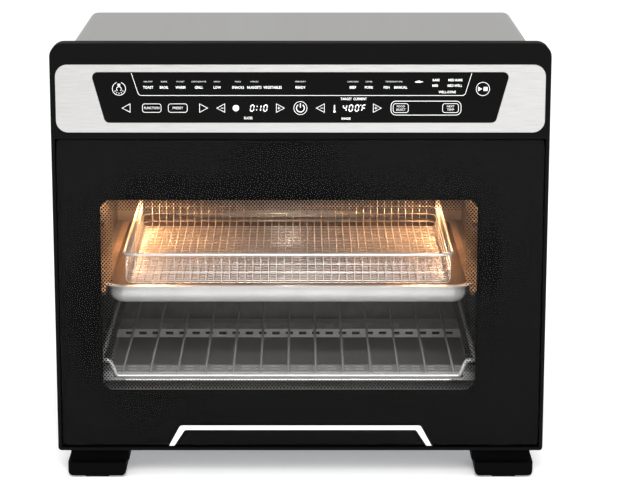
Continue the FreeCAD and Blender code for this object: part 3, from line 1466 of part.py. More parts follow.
def make_basket():
    """Air-fry basket: rim wire, pierced tub and two runners."""
    rim = closed_path(basket_half, basket_near, basket_far, basket_level, basket_corner)
    made_shape("basket_rim_wire", wire_along(rim, basket_wire.value))
    wall = basket_half - basket_wall_inset
    near = basket_near + basket_wall_inset
    far = basket_far - basket_wall_inset
    low = basket_floor - basket_web
    top = basket_level - basket_wire
    pan = make_pan("basket", wall, near, far, low, top, basket_corner, basket_foot_round, basket_web)
    doc.recompute()
    made_shape("basket_mesh", pan.Shape.cut(Part.makeCompound(basket_openings(wall, near, far, low, top))))
    runners = []
    level = tray_floor + runner_wire + runner_gap
    for side in (-1, 1):
        x = cavity_shift + (wall - runner_inset) * side
        first = basket_near + runner_inset
        last = basket_far - runner_inset
        points = [at(x, first, low), at(x, first, level), at(x, last, level), at(x, last, low)]
        runners.append(wire_along(bent_path(points, runner_bend.value), runner_wire.value))
    made_shape("basket_runners", Part.makeCompound(runners))


def basket_openings(wall, near, far, low, top):
    """Square openings through the tub's floor and all four sides."""
    pitch = basket_pitch.value
    opening = basket_opening.value
    reach = past.value
    margin = basket_corner.value + 2 * reach

    def row(low_end, high_end):
        """Middles of the openings that fit between two corners."""
        count = int((high_end - low_end - 2 * margin) // pitch)
        first = (low_end + high_end - pitch * (count - 1)) / 2
        return [first + pitch * i for i in range(count)]

    left, right = (cavity_shift - wall).value, (cavity_shift + wall).value
    xs = row(left, right)
    ys = row(near.value, far.value)
    half = opening / 2
    web = basket_web.value
    holes = []
    for x in xs:
        for y in ys:
            holes.append(Part.makeBox(opening, opening, web * 3, Vector(x - half, y - half, low.value - web)))
    rail = basket_rail.value
    side_low = (low + basket_foot_round).value + rail
    height = (top.value - side_low) / 2 - rail
    depth = web + 2 * reach
    for level in (side_low, side_low + height + rail):
        for x in xs:
            for y in (near.value - reach, far.value - web - reach):
                holes.append(Part.makeBox(opening, depth, height, Vector(x - half, y, level)))
        for y in ys:
            for x in (left - reach, right - web - reach):
                holes.append(Part.makeBox(depth, opening, height, Vector(x, y - half, level)))
    return holes


def make_crumb_tray():
    """Shallow pan on the cavity floor that catches crumbs."""
    half = cavity_width / 2 - crumb_side_gap
    near = face + crumb_front
    far = cavity_back - crumb_rear_gap
    low = cavity_floor_level + slide_gap
    high = low + crumb_height
    pan = make_pan("crumb", half, near, far, low, high, crumb_corner, crumb_foot_round, tray_sheet)
    made("crumb_tray", pan)


# ---------------------------------------------------------------- door and hinges


def window_sides(grow):
    """Window edges grown by a size: left, right, bottom, top."""
    half = window_width / 2 + grow
    return window_shift - half, window_shift + half, window_bottom - grow, window_top + grow


def make_door():
    """Door: printed outer glass, moulded frame, inner glass with clips, and trim."""
    body = new_body("door_outer_glass")
    sketch = rectangle(body, "outside", "XZ", face, -door_half, door_half, door_bottom, door_top)
    pad(body, sketch, "glass", glass_thickness, "XZ")
    round_where(body, "corners", door_corner, lambda e: runs_along(e, "Y"))

    body = new_body("door_frame")
    start = face + glass_thickness
    depth = door_thickness - glass_thickness
    sketch = rectangle(body, "outside", "XZ", start, -door_half, door_half, door_bottom, door_top)
    pad(body, sketch, "block", depth, "XZ")
    round_where(body, "corners", door_corner, lambda e: runs_along(e, "Y"))
    back = face + door_thickness
    toe = outline(
        body,
        "toe",
        "YZ",
        -door_half - past,
        [
            (back - door_toe - past, door_bottom - past),
            (back + past, door_bottom - past),
            (back + past, door_bottom + door_toe + past),
        ],
    )
    pocket(body, toe, "toe_cut", "YZ", (door_half + past) * 2)
    window = rectangle(body, "window", "XZ", start, *window_sides(window_reveal))
    pocket(body, window, "window_cut", "XZ", depth + past)
    seat_grow = window_reveal + inner_glass_bite + fit_gap
    seat_start = face + door_thickness - glass_thickness
    seat = rectangle(body, "inner_glass_seat", "XZ", seat_start, *window_sides(seat_grow))
    pocket(body, seat, "seat_cut", "XZ", glass_thickness + past)
    notch_top = hinge_level + hinge_eye_radius + hinge_side_gap
    near = hinge_bracket_at - hinge_side_gap
    for side in (-1, 1):
        name = "left" if side < 0 else "right"
        low_x, high_x = (-near - hinge_notch_width, -near) if side < 0 else (near, near + hinge_notch_width)
        notch = rectangle(body, f"notch_{name}", "XZ", start, low_x, high_x, door_bottom - past, notch_top)
        pocket(body, notch, f"notch_cut_{name}", "XZ")
    for side in (-1, 1):
        name = "left" if side < 0 else "right"
        start_x = pin_start(side)
        bore = circle(body, f"pin_bore_{name}", "YZ", start_x, (hinge_y, hinge_level), hinge_pin_radius)
        pocket(body, bore, f"pin_bore_cut_{name}", "YZ", hinge_pin_length)

    body = new_body("door_inner_glass")
    sides = window_sides(window_reveal + inner_glass_bite)
    sketch = rectangle(body, "outside", "XZ", seat_start, *sides)
    pad(body, sketch, "glass", glass_thickness, "XZ")
    make_retainers(sides)
    make_trim()
    pins = []
    for side in (-1, 1):
        start = (pin_start(side), hinge_y, hinge_level)
        pins.append(rod(f"hinge_pin_{side}", "X", start, hinge_pin_length, hinge_pin_radius))
    made("hinge_pins", group("hinge_pin_pair", pins))


def pin_start(side):
    """Lower X end of a hinge pin."""
    inner = hinge_bracket_at - hinge_pin_grip
    return -inner - hinge_pin_length if side < 0 else inner


def make_retainers(sides):
    """Clips that hold the inner glass, and their screws."""
    left, right, low, high = sides
    near = face + door_thickness
    far = near + clip_sheet
    clips = []
    screws = []
    middle = (low + high) / 2
    for side, edge in ((-1, left), (1, right)):
        for end in (-1, 1):
            tag = f"{'left' if side < 0 else 'right'}_{'low' if end < 0 else 'high'}"
            level = middle + clip_spread / 2 * end
            low_x, high_x = edge - clip_length / 2, edge + clip_length / 2
            low_z, high_z = level - clip_width / 2, level + clip_width / 2
            clips.append(box(f"clip_{tag}", low_x, high_x, near, far, low_z, high_z))
            screw_x = edge + clip_screw_out * side
            screws.append(rod(f"clip_screw_{tag}", "Y", (screw_x, far, level), clip_sheet, clip_screw_radius))
    made("inner_glass_clips", group("inner_glass_clip_set", clips))
    made("clip_screws", group("clip_screw_set", screws))


def make_trim():
    """Thin bright strip on the outer glass, open at the door's lower edge."""
    body = new_body("door_trim")
    level = face - trim_thickness
    top = door_bottom + trim_height
    inner_top_half = trim_top_half - trim_band
    inner_foot_half = trim_foot_half - trim_foot_band
    points = [
        (-trim_foot_half, door_bottom),
        (-trim_top_half, top),
        (trim_top_half, top),
        (trim_foot_half, door_bottom),
        (inner_foot_half, door_bottom),
        (inner_top_half, top - trim_band),
        (-inner_top_half, top - trim_band),
        (-inner_foot_half, door_bottom),
    ]
    sketch = outline(body, "strip", "XZ", level, points)
    pad(body, sketch, "strip_pad", trim_thickness, "XZ")

    bend_level = (top - trim_band).value - TINY
    round_where(body, "bends", trim_round, lambda e: runs_along(e, "Y") and e.BoundBox.ZMin > bend_level)


def make_hinge_brackets():
    """Steel brackets on the base pan whose eyes carry the door's pins."""
    floor = frame_bottom + sheet_metal
    reach = face + hinge_arm_reach
    brackets = []
    for side in (-1, 1):
        name = "left" if side < 0 else "right"
        outer = hinge_bracket_at + hinge_bracket_thickness
        low_x, high_x = (-outer, -hinge_bracket_at) if side < 0 else (hinge_bracket_at, outer)
        arm_low = hinge_level - hinge_eye_radius
        arm_high = hinge_level + hinge_eye_radius
        eye = rod(
            f"eye_{name}", "X", (low_x, hinge_y, hinge_level), hinge_bracket_thickness, hinge_eye_radius
        )
        arm = box(f"arm_{name}", low_x, high_x, hinge_y, reach, arm_low, arm_high)
        leg = box(f"leg_{name}", low_x, high_x, reach - hinge_leg, reach, floor, arm_high)
        tab_end = outer + hinge_tab
        tab_low, tab_high = (-tab_end, -hinge_bracket_at) if side < 0 else (hinge_bracket_at, tab_end)
        tab_top = floor + hinge_tab_thickness
        tab = box(f"tab_{name}", tab_low, tab_high, reach - hinge_tab_length, reach, floor, tab_top)
        bore = rod(
            f"eye_bore_{name}",
            "X",
            (low_x - past, hinge_y, hinge_level),
            hinge_bracket_thickness + past * 2,
            hinge_pin_radius + hinge_play,
        )
        solid = fuse(f"bracket_{name}", [eye, arm, leg, tab])
        brackets.append(cut(f"bracket_bored_{name}", solid, [bore]))
    made("hinge_brackets", group("hinge_bracket_pair", brackets))


# ---------------------------------------------------------------- electrical parts


def make_electrics():
    """Heat shield, power board, lamp, probe, cutoff, switch, terminal block and cord gland."""
    floor = frame_bottom + sheet_metal
    shield = box(
        "shield_plate",
        shield_at,
        shield_at + sheet_metal,
        face + shield_front,
        cavity_back - shield_rear_gap,
        floor,
        cavity_ceiling_level + shield_rise,
    )
    made("heat_shield", shield)
    make_power_board()
    make_lamp()
    probe = (cavity_right - probe_reach, face + probe_back, probe_level)
    made("temperature_probe", rod("probe_rod", "X", probe, probe_length, probe_radius))
    make_cutoff()
    near = face + terminal_front
    low_x = shield_at + terminal_gap
    block = box(
        "terminal_body",
        low_x,
        low_x + terminal_width,
        near,
        near + terminal_length,
        floor,
        floor + terminal_width,
    )
    made("terminal_block", block)
    make_gland()
    make_door_switch()


def make_cutoff():
    """Thermal cutoff on the cavity's roof: a round can with a square head."""
    middle = cavity_shift + cutoff_side
    roof = cavity_ceiling_level + sheet_metal
    can = rod("cutoff_can", "Z", (middle, fan_y, roof), cutoff_height, cutoff_radius)
    half = cutoff_head / 2
    top = roof + cutoff_height
    left, right = middle - half, middle + half
    head = box("cutoff_block", left, right, fan_y - half, fan_y + half, top, top + cutoff_height)
    made("thermal_cutoff", fuse("cutoff_solid", [can, head]))


RELAYS = 3


def make_power_board():
    """Relay board on standoffs beside the heat shield."""
    near = face + power_board_front
    far = near + power_board_length
    low = power_board_bottom
    high = low + power_board_height
    side = shield_at + sheet_metal
    posts = []
    for y in (near + standoff_inset, far - standoff_inset):
        for z in (low + standoff_inset, high - standoff_inset):
            tag = f"standoff_{len(posts)}"
            posts.append(rod(tag, "X", (side, y, z), standoff_length, standoff_radius))
    made("board_standoffs", group("standoff_set", posts))
    board_x = side + standoff_length
    made("power_board", box("power_board_plate", board_x, board_x + board_thickness, near, far, low, high))
    front = board_x + board_thickness
    relays = []
    relay_top = high - relay_drop
    relay_low = relay_top - relay_rise
    for index in range(RELAYS):
        y = near + relay_start + relay_pitch * index
        end = y + relay_length
        relays.append(box(f"relay_{index}", front, front + relay_depth, y, end, relay_low, relay_top))
    made("relays", group("relay_set", relays))
    core_y = near + transformer_start
    core_z = low + transformer_rise
    core = box(
        "transformer_core",
        front,
        front + transformer_depth,
        core_y,
        core_y + transformer_length,
        core_z,
        core_z + transformer_height,
    )
    made("transformer", core)


def make_lamp():
    """Oven lamp in the right-hand wall."""
    outside = cavity_right + sheet_metal
    centre = (face + lamp_back, lamp_level)
    cup_length = lamp_reach + sheet_metal
    cup = rod("lamp_cup", "X", (outside - cup_length, *centre), cup_length, lamp_radius)
    room_start = outside - cup_length + lamp_glass_wall
    hollow = rod("lamp_cup_room", "X", (room_start, *centre), cup_length, lamp_radius - lamp_glass_wall)
    made("lamp_glass", cut("lamp_cup_hollow", cup, [hollow]))
    bulb_length = lamp_bulb_reach + sheet_metal
    bulb = rod("lamp_bulb_rod", "X", (outside - bulb_length, *centre), bulb_length, lamp_bulb_radius)
    made("lamp_bulb", bulb)
    plate = rod("lamp_plate", "X", (outside, *centre), lamp_flange_height, lamp_radius + lamp_flange)
    socket = rod("lamp_socket", "X", (outside, *centre), lamp_socket_length, lamp_socket_radius)
    made("lamp_holder", fuse("lamp_holder_solid", [plate, socket]))


def make_gland():
    """Cord gland in the rear panel."""
    start = casing_end - gland_length / 2
    spot = (cord_side, start, cord_level)
    sleeve = rod("gland_sleeve", "Y", spot, gland_length, cord_radius + gland_wall)
    seat = (cord_side, casing_end, cord_level)
    flange = rod("gland_collar", "Y", seat, gland_flange_height, cord_radius + gland_flange)
    bore = rod("gland_bore", "Y", (cord_side, start - past, cord_level), gland_length + past * 2, cord_radius)
    made("cord_gland", cut("gland_bored", fuse("gland_solid", [sleeve, flange]), [bore]))


def make_door_switch():
    """Door switch behind the front plate, and the plunger the door pushes in."""
    start = cavity_front
    half_width = switch_width / 2
    half_height = switch_height / 2
    case = box(
        "switch_case",
        switch_side - half_width,
        switch_side + half_width,
        start,
        start + switch_length,
        switch_level - half_height,
        switch_level + half_height,
    )
    bore_start = (switch_side, start - past, switch_level)
    bore = rod("switch_bore", "Y", bore_start, plunger_room + past, plunger_radius + plunger_play)
    made("interlock_switch", cut("switch_bored", case, [bore]))
    tip = (switch_side, face + door_thickness + plunger_gap, switch_level)
    made("interlock_plunger", rod("plunger_rod", "Y", tip, plunger_length, plunger_radius))


def make_rear_screws():
    """Screws that hold the rear panel."""
    screws = []
    for index, (x, z) in enumerate(rear_screw_places()):
        head = rod(f"screw_head_{index}", "Y", (x, casing_end, z), screw_head_height, screw_head_radius)
        shank = rod(f"screw_shank_{index}", "Y", (x, casing_end - screw_length, z), screw_length, screw_radius)
        screws.append(fuse(f"screw_{index}", [shank, head]))
    made("rear_panel_screws", group("rear_screw_set", screws))


# ---------------------------------------------------------------- build, check and export


def main():
    """Build every sub-part, check it and write it out."""
    os.makedirs("parts", exist_ok=True)
    make_front_frame()
    make_control_fascia()
    make_display_lens()
    make_control_board()
    make_casing_wrap()
    make_rear_panel()
    make_rear_spacers()
    make_base_pan()
    make_feet()
    make_side_wall(-1)
    make_side_wall(1)
    make_cavity_sheets()
    make_rear_wall()
    guards = [make_guard(f"guard_{index}", front) for index, front in enumerate(guard_fronts())]
    made("element_guards", group("element_guard_pair", guards))
    make_heaters()
    make_fan_housing()
    make_motor()
    make_wire_rack()
    make_baking_tray()
    make_basket()
    make_crumb_tray()
    make_door()
    make_hinge_brackets()
    make_electrics()
    make_rear_screws()
    doc.recompute()
    for thing in doc.Objects:
        if "Invalid" in thing.State or "Error" in thing.State:
            raise ValueError(f"{thing.Label} did not build: {thing.State}")
    for label, thing in parts.items():
        shape = thing.Shape
        if shape.isNull() or not shape.isValid() or not shape.Solids:
            raise ValueError(f"{label} has no sound solid")
        shape.exportStep(f"parts/{label}.step")
        print(f"{label}: {len(shape.Solids)} solid, {shape.Volume / 1000:.2f} cm3")
    print(f"{len(parts)} sub-parts written")


main()
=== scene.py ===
# %% [markdown]
# # A counter-top toaster oven with a glass door
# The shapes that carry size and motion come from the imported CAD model, which loads as a fixed frame.
# This script gives every one of those shapes a real finish. It also makes what CAD leaves plain: the
# wire mesh of the air-fry basket, the black print on the door glass, and the legends on the control lens.

import math

import bmesh
import bpy
from mathutils import Matrix, Vector


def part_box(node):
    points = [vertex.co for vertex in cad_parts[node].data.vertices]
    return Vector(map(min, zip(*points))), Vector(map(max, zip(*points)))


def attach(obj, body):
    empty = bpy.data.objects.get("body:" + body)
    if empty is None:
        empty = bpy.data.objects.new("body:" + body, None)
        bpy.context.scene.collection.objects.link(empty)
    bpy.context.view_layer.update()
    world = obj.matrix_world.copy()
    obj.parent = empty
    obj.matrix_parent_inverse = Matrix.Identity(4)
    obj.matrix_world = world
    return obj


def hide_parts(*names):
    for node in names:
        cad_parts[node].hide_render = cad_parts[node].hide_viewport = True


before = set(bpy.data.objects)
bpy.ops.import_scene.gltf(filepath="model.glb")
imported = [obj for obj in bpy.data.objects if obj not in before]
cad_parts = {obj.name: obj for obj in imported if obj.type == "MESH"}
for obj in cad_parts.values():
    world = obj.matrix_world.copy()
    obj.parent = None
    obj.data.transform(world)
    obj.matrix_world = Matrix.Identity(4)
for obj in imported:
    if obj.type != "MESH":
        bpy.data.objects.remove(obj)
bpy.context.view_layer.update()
MM = 0.001

# %% [markdown]
# ## Places that the rest of the script measures from
# The front of the door glass is the oven's face. Distances "behind the face" grow towards the back.
# The cavity sits left of the oven's middle, because the electronics need room on the right.

# %% Reference places
face_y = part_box("door_outer_glass")[0].y
glass_back_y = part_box("door_outer_glass")[1].y
lens_front_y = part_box("display_lens")[0].y
floor_low, floor_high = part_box("cavity_floor")
ceiling_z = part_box("cavity_ceiling")[0].z
cavity_x = (floor_low.x + floor_high.x) / 2
print("face", round(face_y / MM, 1), "cavity middle", round(cavity_x / MM, 1))

# %% [markdown]
# ## Camera
# A long lens from well back, a little above the oven and looking down thirteen degrees. The oven's middle
# sits slightly left of the picture's middle, so the lens is shifted sideways and never turned.

# %% Camera
CAMERA_BACK = 2012.4 * MM
CAMERA_HEIGHT = 673.4 * MM
CAMERA_PITCH = math.radians(12.995)
PICTURE_WIDTH = 625
FOCAL_IN_WIDTHS = 2359.3 / PICTURE_WIDTH
SENSOR = 36.0

camera_data = bpy.data.cameras.new("camera")
camera_data.sensor_width = SENSOR
camera_data.lens = FOCAL_IN_WIDTHS * SENSOR
camera_data.shift_x = 12.1 / PICTURE_WIDTH
camera_data.clip_end = 20
camera = bpy.data.objects.new("camera", camera_data)
camera.location = (0, face_y - CAMERA_BACK, CAMERA_HEIGHT)
camera.rotation_euler = (math.pi / 2 - CAMERA_PITCH, 0, 0)
bpy.context.collection.objects.link(camera)
bpy.context.scene.camera = camera
print("lens", round(camera_data.lens, 1), "mm")

# %% [markdown]
# ## Helpers for finishes
# Colours are written as the sRGB hex that an eye would pick, and one function turns them linear.
# One small function adds a node, sets its values and makes its links, so each finish reads as a recipe.


# %% Finish helpers
def colour(text):
    """Linear RGBA from an sRGB hex colour."""
    channels = [int(text[i:i + 2], 16) / 255 for i in (1, 3, 5)]
    linear = [c / 12.92 if c <= 0.04045 else ((c + 0.055) / 1.055) ** 2.4 for c in channels]
    return (*linear, 1.0)


def add_node(tree, kind, values=None, links=None, **settings):
    """Add a node with its settings, its plain input values and the links into it."""
    node = tree.nodes.new(kind)
    for name, value in settings.items():
        setattr(node, name, value)
    for name, value in (values or {}).items():
        node.inputs[name].default_value = value
    for name, source in (links or {}).items():
        tree.links.new(source, node.inputs[name])
    return node


def new_finish(name, base, roughness, metallic=0.0, **extra):
    """A material with one Principled shader, its values set on the shader's own sockets."""
    material = bpy.data.materials.new(name)
    material.use_nodes = True
    tree = material.node_tree
    shader = tree.nodes["Principled BSDF"]
    shader.inputs["Base Color"].default_value = colour(base)
    shader.inputs["Roughness"].default_value = roughness
    shader.inputs["Metallic"].default_value = metallic
    for socket, value in extra.items():
        shader.inputs[socket.replace("_", " ")].default_value = value
    return material, tree, shader


def object_point(tree, scale=(1, 1, 1)):
    """Object coordinates, stretched so that a pattern can be longer one way than the other."""
    place = add_node(tree, "ShaderNodeTexCoord")
    mapping = add_node(tree, "ShaderNodeMapping", {"Scale": scale}, {"Vector": place.outputs["Object"]})
    return mapping.outputs["Vector"]


def grain(tree, size_mm, detail=2.0, stretch=(1, 1, 1)):
    """Noise whose blobs are about size_mm across, stretched along any axis whose factor is small."""
    point = object_point(tree, stretch)
    values = {"Scale": 1 / (size_mm * MM), "Detail": detail}
    noise = add_node(tree, "ShaderNodeTexNoise", values, {"Vector": point})
    return noise.outputs["Fac"]


def spread(tree, source, low, high, start=0.3, end=0.7):
    """Turn a 0 to 1 pattern into a range of plain values."""
    node = add_node(
        tree,
        "ShaderNodeMapRange",
        {"From Min": start, "From Max": end, "To Min": low, "To Max": high},
        {"Value": source},
    )
    return node.outputs["Result"]


def tint(tree, source, first, second, start=0.35, end=0.65):
    """Two colours mixed by a pattern."""
    ramp = add_node(tree, "ShaderNodeValToRGB", None, {"Fac": source})
    ramp.color_ramp.elements[0].position = start
    ramp.color_ramp.elements[0].color = colour(first)
    ramp.color_ramp.elements[1].position = end
    ramp.color_ramp.elements[1].color = colour(second)
    return ramp.outputs["Color"]


def emboss(tree, shader, source, depth_mm, strength=1.0):
    """Raise the surface by a pattern, as a bump of a real depth."""
    bump = add_node(
        tree, "ShaderNodeBump", {"Strength": strength, "Distance": depth_mm * MM}, {"Height": source}
    )
    tree.links.new(bump.outputs["Normal"], shader.inputs["Normal"])


# %% [markdown]
# ## Plastics and rubber
# The front frame is ABS moulded in a finely spark-eroded tool, which leaves a soft satin with a grain of
# about half a millimetre. Feet, rear panel and spacers come from a coarser tool and look flatter, and the
# feet are blacker than the rest.


# %% Plastics and rubber
def moulded_abs(name, base, roughness, grain_mm, depth_mm, shine=0.02):
    """Moulded ABS: an even colour, a slightly uneven sheen and a fine eroded grain."""
    material, tree, shader = new_finish(name, base, roughness, Specular_IOR_Level=shine)
    fine = grain(tree, grain_mm, 3)
    broad = grain(tree, 60, 2)
    tree.links.new(spread(tree, broad, roughness - 0.04, roughness + 0.05), shader.inputs["Roughness"])
    emboss(tree, shader, fine, depth_mm)
    return material


satin_abs = moulded_abs("satin_moulded_abs", "#0d0d0e", 0.55, 0.5, 0.01)
grained_abs = moulded_abs("coarse_grained_abs", "#060606", 0.62, 0.9, 0.05)
panel_abs = moulded_abs("coarse_grained_rear_panel", "#1c1c1d", 0.6, 0.9, 0.05, 0.15)
white_nylon = moulded_abs("natural_nylon", "#d9d6cc", 0.5, 0.8, 0.01, 0.4)
foot_rubber = moulded_abs("black_foot_rubber", "#121212", 0.8, 0.7, 0.04)

# %% [markdown]
# ## Sheet steels
# Brushed stainless shows hair-fine lines along the belt's direction, so its noise is stretched fifty times
# along one axis. Aluminised steel, which lines the cavity, is duller and shows a soft crystal mottle. The
# rear wall's sheet is paler and less mirror-like than the rest of the lining.


# %% Sheet steels
def brushed_steel(name, light, dark, roughness, stretch, line_mm=0.35):
    """Stainless sheet brushed along one axis."""
    material, tree, shader = new_finish(name, light, roughness, 1.0)
    lines = grain(tree, line_mm, 2, stretch)
    broad = grain(tree, 45, 2, stretch)
    tree.links.new(tint(tree, lines, dark, light, 0.3, 0.6), shader.inputs["Base Color"])
    mixed = add_node(tree, "ShaderNodeMath", {1: 0.35}, {0: broad}, operation="MULTIPLY")
    both = add_node(tree, "ShaderNodeMath", None, {0: lines, 1: mixed.outputs[0]}, operation="ADD")
    polish = spread(tree, both.outputs[0], roughness - 0.06, roughness + 0.1, 0.4, 0.9)
    tree.links.new(polish, shader.inputs["Roughness"])
    emboss(tree, shader, lines, 0.006, 0.6)
    return material


ALONG_X = (0.02, 1, 1)
ALONG_Y = (1, 0.02, 1)
casing_steel = brushed_steel("brushed_stainless_casing", "#a5a4a2", "#989795", 0.36, ALONG_Y)
fascia_steel = brushed_steel("brushed_stainless_fascia", "#b9b8b7", "#adacab", 0.34, ALONG_X)
zinc_steel = brushed_steel("zinc_plated_steel", "#b9bcbf", "#9fa3a8", 0.38, ALONG_X, 1.2)


def aluminised_steel(name, dull, bright, metallic):
    """Hot-dipped lining sheet: dull metal with a faint mottle."""
    material, tree, shader = new_finish(name, bright, 0.42, metallic)
    mottle = grain(tree, 9, 4)
    tree.links.new(tint(tree, mottle, dull, bright), shader.inputs["Base Color"])
    tree.links.new(spread(tree, mottle, 0.3, 0.5), shader.inputs["Roughness"])
    emboss(tree, shader, grain(tree, 30, 1), 0.25, 0.3)
    return material


lining_steel = aluminised_steel("aluminised_steel_lining", "#625d58", "#75706b", 0.75)
rear_wall_steel = aluminised_steel("pale_aluminised_rear_wall", "#a39d96", "#b5afa8", 0.45)

# %% [markdown]
# ## Wires, tray and heaters
# The rack is steel wire with bright chrome plating, and the basket's wire is nickel plated. The tray is
# drawn from sheet and satin finished; its inside is coloured brown as painted shade and painted dark
# reflection. Heater tubes turn brown and grey in patches, because the steel's oxide grows with heat.


# %% Wires, tray and heaters
def bright_wire(name, base, metallic):
    """Plated wire with a slightly uneven polish; the lower the metallic value, the milkier the plating."""
    material, tree, shader = new_finish(name, base, 0.2, metallic)
    tree.links.new(spread(tree, grain(tree, 4, 3), 0.14, 0.26), shader.inputs["Roughness"])
    return material


def satin_sheet(name, dull, bright, metallic):
    """Pressed sheet: pale satin metal, brightest where the tool rubbed it."""
    material, tree, shader = new_finish(name, bright, 0.4, metallic)
    cloud = grain(tree, 25, 1)
    tree.links.new(tint(tree, cloud, dull, bright, 0.2, 0.8), shader.inputs["Base Color"])
    tree.links.new(spread(tree, cloud, 0.28, 0.34, 0.2, 0.8), shader.inputs["Roughness"])
    emboss(tree, shader, grain(tree, 1.2, 2), 0.01, 0.4)
    return material


FACTOR, FIRST, SECOND, MIXED = 0, 6, 7, 2  # sockets of a Mix node that mixes colours


def tray_with_painted_shade():
    """Drawn tray: satin outside its front wall, and brown painted shade everywhere behind that wall."""
    material, tree, shader = new_finish("satin_drawn_tray", "#eae9e8", 0.3, 0.3)
    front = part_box("baking_tray")[0].y
    # painted shade: from about a centimetre behind the front wall, the tray's colour turns brown
    unshaded_until, fully_shaded_from = front + 10 * MM, front + 16 * MM
    sides = add_node(tree, "ShaderNodeSeparateXYZ", None, {"Vector": object_point(tree)})
    behind = spread(tree, sides.outputs["Y"], 0, 1, unshaded_until, fully_shaded_from)
    cloud = grain(tree, 25, 1)
    painted_shade_mix = add_node(
        tree, "ShaderNodeMix", None,
        {
            FACTOR: behind,
            FIRST: tint(tree, cloud, "#ecebea", "#f6f5f4"),
            # painted shade: this brown stands in for the shade and dark reflections inside the tray
            SECOND: tint(tree, cloud, "#70604f", "#857363"),
        },
        data_type="RGBA",
    )
    tree.links.new(painted_shade_mix.outputs[MIXED], shader.inputs["Base Color"])
    tree.links.new(spread(tree, cloud, 0.28, 0.34, 0.2, 0.8), shader.inputs["Roughness"])
    return material


def heated_tube():
    """Sheathed heater tube with heat-tinted oxide."""
    material, tree, shader = new_finish("heat_tinted_heater_tube", "#55504b", 0.5, 0.7)
    patches = grain(tree, 18, 4)
    tree.links.new(tint(tree, patches, "#3c3835", "#7a6a5a"), shader.inputs["Base Color"])
    tree.links.new(spread(tree, grain(tree, 1.5, 3), 0.4, 0.65), shader.inputs["Roughness"])
    return material


chrome_wire = bright_wire("chrome_plated_rack_wire", "#fbfbf9", 0.3)
basket_wire = bright_wire("nickel_plated_basket_wire", "#fbf8f4", 0.5)
tray_metal = tray_with_painted_shade()
guard_metal = satin_sheet("satin_pressed_guards", "#e2e1df", "#f0efed", 0.15)
crumb_metal = satin_sheet("satin_pressed_crumb_tray", "#c9c8c6", "#d3d2d0", 0.45)
heater_metal = heated_tube()

# %% [markdown]
# ## Glass and print
# The outer pane is clear. Its black is a ceramic ink fired onto the inside face, with a clear window in it
# and rows of dots that shrink towards the window, so the edge of the print looks soft.
# Clear panes let most light straight through, so they are given a low alpha in place of slow refraction.

# %% Glass and print
pane_glass, pane_tree, pane_shader = new_finish(
    "clear_tempered_glass", "#0c0e0c", 0.03, Alpha=0.06, Specular_IOR_Level=0.5
)
pane_sheen = spread(pane_tree, grain(pane_tree, 80, 1), 0.02, 0.06)
pane_tree.links.new(pane_sheen, pane_shader.inputs["Roughness"])


def ceramic_ink():
    """Fired black ink: smooth, glossy and almost black, with a faint flow in its surface."""
    material, tree, shader = new_finish("fired_black_ceramic_ink", "#070707", 0.2, Specular_IOR_Level=0.03)
    tree.links.new(spread(tree, grain(tree, 90, 2), 0.18, 0.28), shader.inputs["Roughness"])
    return material


def white_ink(name, base, backlight_and_painted_glow):
    """Screen-printed or back-lit white; on the printed and unlit whites the glow is painted light."""
    material, tree, shader = new_finish(name, base, 0.5)
    tree.links.new(tint(tree, grain(tree, 0.8, 2), base, "#ffffff", 0.2, 0.9), shader.inputs["Base Color"])
    shader.inputs["Emission Color"].default_value = colour("#ffffff")
    shader.inputs["Emission Strength"].default_value = backlight_and_painted_glow
    return material


black_ink = ceramic_ink()
# painted glow: the screen-printed keys and door trim glow faintly, though nothing lights them from behind
printed_white = white_ink("screen_printed_white", "#cfcfcd", 0.12)
lit_white = white_ink("back_lit_white", "#e8e8e6", 0.45)
# painted glow: the unlit legends glow faintly, though they are not lit
dim_white = white_ink("unlit_grey_legend", "#9a9a9a", 0.05)


def gloss_lens():
    """Polished acrylic lens over a black back print."""
    material, tree, shader = new_finish("polished_acrylic_lens", "#090909", 0.18, Specular_IOR_Level=0.035)
    tree.links.new(spread(tree, grain(tree, 50, 2), 0.16, 0.24), shader.inputs["Roughness"])
    return material


lens_acrylic = gloss_lens()

# %% [markdown]
# ## Inner parts
# What sits behind the casing still gets its own finish, because every piece can be seen on its own:
# glass-fibre circuit board, steatite ceramic, varnished motor laminations and pressed aluminium.


# %% Inner parts
def circuit_board():
    """Green solder mask over copper tracks that run in two directions."""
    material, tree, shader = new_finish("solder_masked_fibreglass", "#12502c", 0.35)
    point = object_point(tree)
    greens = {"Color1": colour("#14592f"), "Color2": colour("#0f4a27"), "Mortar": colour("#2c7a46")}
    tracks = add_node(tree, "ShaderNodeTexBrick", {**greens, "Scale": 1 / (14 * MM)}, {"Vector": point})
    tree.links.new(tracks.outputs["Color"], shader.inputs["Base Color"])
    emboss(tree, shader, tracks.outputs["Fac"], 0.04, 0.5)
    return material


def steatite():
    """Pressed and fired ceramic, matt and slightly stained."""
    material, tree, shader = new_finish("fired_steatite_ceramic", "#ded8ca", 0.75)
    tree.links.new(tint(tree, grain(tree, 6, 4), "#cfc7b6", "#e6e1d5"), shader.inputs["Base Color"])
    emboss(tree, shader, grain(tree, 0.8, 3), 0.03)
    return material


def laminations():
    """Varnished stack of half-millimetre steel sheets, seen as fine level lines."""
    material, tree, shader = new_finish("varnished_steel_laminations", "#4a3b33", 0.45, 0.6)
    point = object_point(tree)
    values = {"Scale": 0.5 / (0.5 * MM * math.pi * 2), "Distortion": 0.3}
    lines = add_node(tree, "ShaderNodeTexWave", values, {"Vector": point}, bands_direction="Z")
    tree.links.new(tint(tree, lines.outputs["Fac"], "#33302e", "#5d4a3f"), shader.inputs["Base Color"])
    emboss(tree, shader, lines.outputs["Fac"], 0.05, 0.6)
    return material


